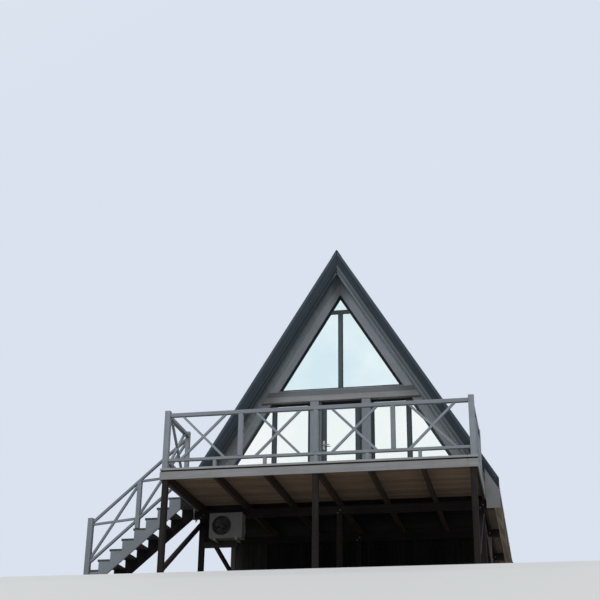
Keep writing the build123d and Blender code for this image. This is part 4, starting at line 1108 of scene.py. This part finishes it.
for x0, x1, z0, z1, run in ((-0.58, -0.502, window_foot - 0.03, casing_top, (0, 0, 1)),
                            (0.502, 0.58, window_foot - 0.03, casing_top, (0, 0, 1)),
                            (-0.5015, 0.5015, window_head + 0.002, casing_top, (1, 0, 0)),
                            (-0.62, 0.62, window_foot - 0.06, window_foot - 0.031, (1, 0, 0))):
    casing.block(x0, x1, wall_back, wall_back + 0.018, z0, z1, run, 0.003)
casing.piece("rear_window_casing", "light_paint", light_paint)

# Railing round the deck: 100 mm corner posts, a square handrail and a lower rail, and in each
# bay two 42 mm bars that cross and are halved over each other. Short stubs carry the lower rail.
rail_paint = painted("rail_paint", (0.228, 0.256, 0.292), (0.175, 0.200, 0.232),
                     (0.110, 0.112, 0.110), dull=0.5, relief=0.22, contrast=0.55, spread=0.10)
handrail_top = 2.87
cross_head = 2.80
cross_foot = 2.03
rail_foot = 1.98
corner_x = 2.70
left_end, right_end = 1.25, 2.0     # where the sides stop, at the stair and the roof
posts = Timbers(50)
for x, y, half in ((-corner_x, 0.0, 0.05), (corner_x, 0.0, 0.05),
                   (-corner_x, left_end, 0.04), (corner_x, right_end, 0.04)):
    posts.block(x - half, x + half, y - half, y + half, deck_top, 2.92, (0, 0, 1), 0.006)
posts.piece("deck_posts", "light_paint", rail_paint, "rail_posts")


def rail_side(name, node, seed, start, end, end_half, bays, stubs, lay):
    """One side of the railing. lay turns a distance along it and one off it into x and y."""
    timbers = Timbers(seed)
    forward = Vector((*lay(1, 0), 0)) - Vector((*lay(0, 0), 0))

    def member(low, high, foot, head, half, run, ease=0.004):
        """A member by its stretch along the side, its heights and half its thickness."""
        outline = [(*lay(low, -half), foot), (*lay(high, -half), foot),
                   (*lay(high, half), foot), (*lay(low, half), foot)]
        timbers.cut(outline, (0, 0, head - foot), run, ease)

    def crossbar(points):
        """A leaning bar by its outline in the plane of the side."""
        outline = [(*lay(a, -0.021), z) for a, z in points]
        reach = Vector((*lay(0, 0.021), 0)) - Vector((*lay(0, -0.021), 0))
        lean = points[3][0] - points[0][0]
        rise = Vector((0, 0, points[3][1] - points[0][1]))
        timbers.cut(outline, reach, forward * lean + rise, 0.003)

    member(start + 0.05, end - end_half, cross_head, handrail_top, 0.035, forward, 0.006)
    member(start + 0.05, end - end_half, rail_foot, cross_foot, 0.035, forward)
    bay = (end - start) / bays
    wide = 0.042 / math.sqrt(2)
    for i in range(bays):
        middle = start + bay * (i + 0.5)
        centre = (cross_foot + cross_head) / 2
        reach = (cross_head - cross_foot) / 2
        crossbar([(middle - reach - wide, cross_foot), (middle - reach + wide, cross_foot),
                  (middle + reach + wide, cross_head), (middle + reach - wide, cross_head)])
        crossbar([(middle + reach - wide, cross_foot), (middle + reach + wide, cross_foot),
                  (middle + wide, centre), (middle, centre - wide)])
        crossbar([(middle, centre + wide), (middle - wide, centre),
                  (middle - reach - wide, cross_head), (middle - reach + wide, cross_head)])
    for i in range(1, bays):
        place = start + bay * i
        member(place - 0.04, place + 0.04, cross_foot, cross_head, 0.04, (0, 0, 1), 0.005)
    for i in range(1, stubs):
        place = start + (end - start) / stubs * i
        member(place - 0.03, place + 0.03, deck_top, rail_foot, 0.03, (0, 0, 1))
    timbers.piece(name, "light_paint", rail_paint, node)


rail_side("front_rail_timbers", "front_rail", 51, -corner_x, corner_x, 0.05, 4, 6,
          lambda a, off: (a, off))
rail_side("left_rail_timbers", "left_rail", 52, 0.0, left_end, 0.04, 1, 1,
          lambda a, off: (-corner_x + off, a))
rail_side("right_rail_timbers", "right_rail", 53, 0.0, right_end, 0.04, 2, 2,
          lambda a, off: (corner_x + off, a))

# Stair: two sawn stringers notched for the steps, the near one painted grey and the far one
# stained dark, darker still with painted shade, with open risers and a pair of planed boards for
# each tread.
rise, going = 0.185, 0.215
tread_thickness = 0.04
stair_near, stair_far = 1.23, 2.09
newel_back = left_end + 0.05 + hair
tread_edges = [-nosing_edge - going * (9 - i) for i in range(10)]
stringer = []
for i in range(9):
    top = rise * (i + 1) - tread_thickness
    stringer += [(tread_edges[i], top), (tread_edges[i + 1], top)]
throat = 0.14 * math.hypot(rise, going) / going
head_low = rise * 9 - tread_thickness - throat
stringer += [(-nosing_edge, head_low), (-nosing_edge - head_low * going / rise, 0.0),
             (tread_edges[0], 0.0)]


def trimmed(points, a, b):
    """What of an outline lies to the left of the line from a to b."""
    def side_of(p):
        return (b[0] - a[0]) * (p[1] - a[1]) - (b[1] - a[1]) * (p[0] - a[0])
    kept = []
    for p, q in zip(points, points[1:] + points[:1]):
        sp, sq = side_of(p), side_of(q)
        if sp >= 0:
            kept.append(p)
        if sp * sq < 0:
            t = sp / (sp - sq)
            kept.append((p[0] + (q[0] - p[0]) * t, p[1] + (q[1] - p[1]) * t))
    return kept


newel_low, newel_high = -4.55, -4.45
stringers = Timbers(54)
near = trimmed(stringer, (newel_high + hair, 2.0), (newel_high + hair, -1.0))
stringers.across(near, stair_near, stair_near + 0.04, (going, 0, rise), 0.003)
stringers.piece("near_stringer", "light_paint", rail_paint, "stair_stringers")
stringers = Timbers(93)
stringers.across(stringer, stair_far - 0.04, stair_far, (going, 0, rise), 0.003)
# Painted shade: the far stringer is stained near black for the shade beneath the stair.
stringers.piece("far_stringer", "dark_timber", stain_and_painted_shade, "stair_stringers")
tread_wood = timber_finish("tread_wood", (0.115, 0.118, 0.120), (0.062, 0.063, 0.062),
                           (0.050, 0.048, 0.044), 0.5, 0.45, 0.8, 0.5, shine=0.15)
treads = Timbers(55)
screws = Fittings()
for i in range(9):
    top = rise * (i + 1)
    start = tread_edges[i] - 0.025
    end = tread_edges[i + 1] - (hair if i < 8 else 0.0)
    width = (end - start - 0.006) / 2
    for x0 in (start, start + width + 0.006):
        x1 = x0 + width
        plan = [(x0, stair_near), (x1, stair_near), (x1, stair_far), (x0, stair_far)]
        if x0 < newel_high < x1:
            past = newel_high + hair
            plan[0:1] = [(x0, newel_back), (past, newel_back), (past, stair_near)]
        elif x0 < newel_low < x1:
            past = newel_low - hair
            plan[1:2] = [(past, stair_near), (past, newel_back), (x1, newel_back)]
        treads.cut([(x, y, top - tread_thickness) for x, y in plan], (0, 0, tread_thickness),
                   (0, 1, 0), 0.004)
        for y in (left_end, stair_far - 0.02):
            for x in (x0 + 0.02, x1 - 0.02):
                if y > left_end or not newel_low - 0.01 < x < newel_high + 0.01:
                    screws.screw((x, y, top), (0, 0, 1))
treads.piece("tread_planks", "bare_boards", tread_wood, "stair_treads")
screws.piece("tread_screws", "steel", zinc)

# Stair railing: a 100 mm newel at the foot, a post on the sixth step, a sloping handrail and
# lower rail with plumb ends, and two crossed bars in each bay. Only the near side has one.
railing = Timbers(56)
rail_start, rail_end = newel_high, -2.74
rail_low, rail_high = 1.23, 2.735
rail_slope = (rail_high - rail_low) / (rail_end - rail_start)
post_x = -3.59
rail_thickness, bar_thickness = 0.06, 0.042
lower_drop = 0.74       # from the handrail's underside to the lower rail's


def rail_under(x):
    """The underside of the stair's handrail."""
    return rail_low + rail_slope * (x - rail_start)


def leaning(x0, z0, x1, z1, plumb):
    """A sloping bar with plumb ends."""
    return [(x0, z0), (x1, z1), (x1, z1 + plumb), (x0, z0 + plumb)]


def rail_bar(outline, half, run, ease=0.004):
    """A member of the stair's railing, by its outline and half its thickness."""
    railing.across(outline, left_end - half, left_end + half, run, ease)


post_foot = rise * (int((post_x - tread_edges[0]) // going) + 1)
railing.block(newel_low, newel_high, left_end - 0.05, left_end + 0.05, 0.0, 1.33,
              (0, 0, 1), 0.006)
post_near, post_far = post_x - 0.04, post_x + 0.04
rail_bar([(post_near, post_foot), (post_far, post_foot), (post_far, rail_under(post_far)),
          (post_near, rail_under(post_near))], 0.04, (0, 0, 1))
slope_run = (1, 0, rail_slope)
rail_bar(leaning(rail_start, rail_low, rail_end, rail_high, rail_thickness), 0.03, slope_run, 0.005)
for near_x, far_x in ((rail_start, post_near), (post_far, rail_end)):
    high_near, high_far = rail_under(near_x), rail_under(far_x)
    low_near, low_far = high_near - lower_drop, high_far - lower_drop
    rail_bar(leaning(near_x, low_near, far_x, low_far, rail_thickness), 0.03, slope_run)
    steep = leaning(near_x, low_near + rail_thickness, far_x, high_far - 2 * bar_thickness,
                    2 * bar_thickness)
    shallow = leaning(near_x, high_near - bar_thickness, far_x, low_far + rail_thickness,
                      bar_thickness)
    rail_bar(steep, 0.021, (far_x - near_x, 0, steep[1][1] - steep[0][1]), 0.003)
    for part in (trimmed(shallow, steep[3], steep[2]), trimmed(shallow, steep[1], steep[0])):
        if len(part) > 2:
            rail_bar(part, 0.021, (far_x - near_x, 0, shallow[1][1] - shallow[0][1]), 0.003)
railing.piece("stair_rail_timbers", "light_paint", rail_paint, "stair_railing")

# Backing of the cooling unit: dark boards hung from the second beam, held by a batten and a
# girt that runs from the leg. Two zinc-plated brackets reach forward under the unit.
backing = Timbers(57)
panel_left, panel_front, girt_foot = -2.63, 2.38, 0.96
for i in range(4):
    x0 = panel_left + 0.1474 * i
    backing.block(x0 + 0.0008, x0 + 0.1464, panel_front, panel_front + 0.025, girt_foot + 0.1005,
                  beam_foot - 0.001, (0, 0, 1), 0.002)
for x0, x1, top, run in ((panel_left, -2.0405, girt_foot + 0.0995, (1, 0, 0)),
                         (-2.04, -1.96, beam_foot, (0, 0, 1))):
    backing.block(x0, x1, panel_front, panel_front + 0.08, girt_foot, top, run, 0.004)
backing.piece("unit_backing_boards", "dark_timber", old_planks, "unit_backing")
refinish("unit_brackets", zinc)

# Cooling unit: a pressed steel housing in off-white, given a mid grey as painted shade, its lid
# lapped over the sides, a wire guard over the fan, fins at the side and a small cover for its
# connections.
# Painted shade: the off-white enamel is darkened to grey for the shade under the deck.
unit_enamel_painted_shade = coated_steel("unit_enamel_painted_shade", (0.155, 0.158, 0.156), (0.070, 0.068, 0.064), 0.4, 0.45)
refinish("unit_housing", unit_enamel_painted_shade)
unit_left, unit_right, unit_front, unit_back = -2.45, -1.81, 2.09, 2.34
unit_foot, unit_top = 1.07, 1.55
trims = Timbers(58)
trims.block(unit_left + 0.019, unit_right - 0.019, unit_front - 0.0025, unit_front,
            unit_top - 0.026, unit_top - 0.004, (1, 0, 0), 0.001)
trims.block(-1.985, -1.982, unit_front - 0.0018, unit_front, unit_foot + 0.02, unit_top - 0.03,
            (0, 0, 1), 0.0006)
trims.block(unit_right, unit_right + 0.022, unit_front + 0.12, unit_front + 0.215,
            unit_foot + 0.09, unit_foot + 0.27, (0, 0, 1), 0.006)
for x in (unit_left + 0.09, unit_right - 0.13):
    trims.block(x, x + 0.04, unit_front + 0.01, unit_back - 0.01, unit_foot - 0.0004,
                unit_foot + 0.012, (0, 1, 0), 0.002)
trims.piece("unit_trims", "unit_white", unit_enamel_painted_shade)
fins = Timbers(59)
for i in range(20):
    z = unit_foot + 0.06 + 0.018 * i
    fins.block(unit_left - 0.004, unit_left, unit_front + 0.04, unit_back - 0.035, z, z + 0.007,
               (0, 1, 0), 0.001)
dark_plastic = coated_steel("dark_plastic", (0.022, 0.023, 0.025), (0.075, 0.074, 0.070), 0.5, 0.4)
fins.piece("unit_fins", "unit_dark", dark_plastic)

fan_x, fan_y, fan_z = -2.21, unit_front, 1.31
fan = Fittings()
for blade in range(3):
    start = 2 * math.pi * blade / 3
    lines = []
    for step in range(9):
        radius = 0.038 + 0.122 * step / 8
        sweep_back = 0.55 * step / 8
        line = []
        for across_step in range(7):
            share = across_step / 6 - 0.5
            turn = start + sweep_back + share * (1.35 - 0.25 * step / 8)
            line.append((fan_x + radius * math.cos(turn), fan_y + 0.075 + share * 0.052,
                         fan_z + radius * math.sin(turn)))
        lines.append(line)
    fan.strip(lines)
fan.disc((fan_x, fan_y + 0.11, fan_z), (0, -1, 0), 0.044, 0.065, 28, 0.0, 0.82)
fan.disc((fan_x, fan_y + 0.2, fan_z), (0, -1, 0), 0.03, 0.09, 20)
fan.piece("fan_blades", "unit_dark", dark_plastic, "unit_fan", smooth=True)


def fan_circle(radius, y):
    """Points round the fan."""
    return [(fan_x + radius * math.cos(2 * math.pi * i / 48), y,
             fan_z + radius * math.sin(2 * math.pi * i / 48)) for i in range(48)]


bell = Fittings()
bell.strip([fan_circle(radius, fan_y + back) for radius, back in (
    (0.187, -0.0015), (0.183, -0.004), (0.178, -0.002), (0.1745, 0.02), (0.174, 0.08))],
    closed=True)
bell.piece("fan_mouth", "unit_dark", dark_plastic, smooth=True)


def wire(guard, points, radius, closed):
    """A round wire along points in the plane of the guard."""
    count = len(points)
    lines = []
    for i, p in enumerate(points):
        before = points[i - 1] if closed or i else p
        after = points[(i + 1) % count] if closed or i < count - 1 else p
        run = (Vector(after) - Vector(before)).normalized()
        off = Vector((0, 1, 0)).cross(run)
        lines.append([Vector(p) + off * radius * math.cos(a) + Vector((0, radius * math.sin(a), 0))
                      for a in (2 * math.pi * j / 6 for j in range(6))])
    if closed:
        lines.append(lines[0])
    guard.strip(lines, closed=True)


guard = Fittings()
for j in range(9):
    wire(guard, fan_circle(0.03 + 0.0187 * j, fan_y - 0.0035), 0.0012, True)
for j in range(8):
    turn = math.pi * j / 4 + 0.2
    wire(guard, [(fan_x + r * math.cos(turn), fan_y - 0.0014, fan_z + r * math.sin(turn))
                 for r in (0.012, 0.1, 0.183)], 0.0016, False)
guard.disc((fan_x, fan_y - 0.001, fan_z), (0, -1, 0), 0.022, 0.004, 24, 0.0, 0.85)
guard.piece("fan_guard_wires", "unit_dark", dark_plastic, "unit_guard", smooth=True)


# Floor, light and camera: a pale matt floor that falls away in front of the legs, a soft dome
# with a large lamp on either side, and the camera low in front, looking up at the gable.
def seen_rays(tree):
    """One for what the camera sees, straight or in metal and glass, and nought for other light."""
    rays = put(tree, "ShaderNodeLightPath")
    shown = rays.outputs["Is Camera Ray"]
    for other in ("Is Glossy Ray", "Is Transmission Ray"):
        shown = put(tree, "ShaderNodeMath", {0: shown, 1: rays.outputs[other]},
                    operation="MAXIMUM").outputs[0]
    return shown


studio, tree, shader = new_finish("studio_floor")
pale = stir(tree, blotches(tree, on_object(tree), 0.6), (0.66, 0.67, 0.67, 1),
            (0.70, 0.70, 0.69, 1))
tree.links.new(stir(tree, seen_rays(tree), (0.27, 0.24, 0.20, 1), pale),
               shader.inputs["Base Color"])
shader.inputs["Roughness"].default_value = 0.9
floor_mesh = bpy.data.meshes.new("studio_floor")
work = bmesh.new()
profile = [(60.0, 0.0), (2.0, 0.0), (-0.16, 0.0), (-0.30, -0.012), (-0.60, -0.16),
           (-1.4, -0.72), (-4.0, -2.7), (-16.0, -12.0)]
lines = [[work.verts.new((x, y, z)) for y, z in profile] for x in (-60.0, -8.0, 8.0, 60.0)]
for a, b in zip(lines, lines[1:]):
    for i in range(len(profile) - 1):
        work.faces.new((a[i], b[i], b[i + 1], a[i + 1]))
work.to_mesh(floor_mesh)
work.free()
floor_mesh.materials.append(studio)
ground = bpy.data.objects.new("studio_floor", floor_mesh)
bpy.context.scene.collection.objects.link(ground)

world = bpy.data.worlds.new("studio")
bpy.context.scene.world = world
world.use_nodes = True
tree = world.node_tree
tree.nodes.clear()
direction = put(tree, "ShaderNodeTexCoord").outputs["Generated"]
toward_back = put(tree, "ShaderNodeSeparateXYZ", {"Vector": direction}).outputs[1]
backdrop = stir(tree, span(tree, toward_back, -0.2, 0.75, 0.0, 1.0), (1, 1, 1, 1),
                (0.70, 0.76, 0.86, 1))
seen = put(tree, "ShaderNodeBackground", {"Color": backdrop, "Strength": 1.0}).outputs[0]
dome = put(tree, "ShaderNodeBackground", {
    "Color": (0.94, 0.97, 1.0, 1), "Strength": 0.62}).outputs[0]
mixed = put(tree, "ShaderNodeMixShader", {0: seen_rays(tree), 1: dome, 2: seen}).outputs[0]
put(tree, "ShaderNodeOutputWorld", {"Surface": mixed})

for name, place, size, power in (("key_lamp", (-10.0, -13.0, 14.0), 9.0, 1150.0),
                                 ("fill_lamp", (11.0, -13.0, 13.0), 9.0, 900.0)):
    lamp = bpy.data.lights.new(name, "AREA")
    lamp.shape = "SQUARE"
    lamp.size = size
    lamp.energy = power
    hung = bpy.data.objects.new(name, lamp)
    hung.location = place
    hung.rotation_euler = (Vector((0, 4, 3)) - Vector(place)).to_track_quat("-Z", "Y").to_euler()
    bpy.context.scene.collection.objects.link(hung)

lens = bpy.data.cameras.new("camera")
lens.sensor_width = 36
lens.lens = 1163.4 / 600 * lens.sensor_width
lens.clip_end = 500
camera = bpy.data.objects.new("camera", lens)
camera.rotation_mode = "QUATERNION"
turn = (Matrix.Rotation(0.2036, 3, "Z") @ Matrix.Rotation(0.4149, 3, "X")
        @ Matrix.Rotation(-0.0121, 3, "Y"))
camera.rotation_quaternion = (turn @ Matrix.Rotation(math.pi / 2, 3, "X")).to_quaternion()
camera.location = (3.633, -19.101, -3.660)
bpy.context.scene.collection.objects.link(camera)
bpy.context.scene.camera = camera
bpy.context.scene.view_settings.view_transform = "Standard"
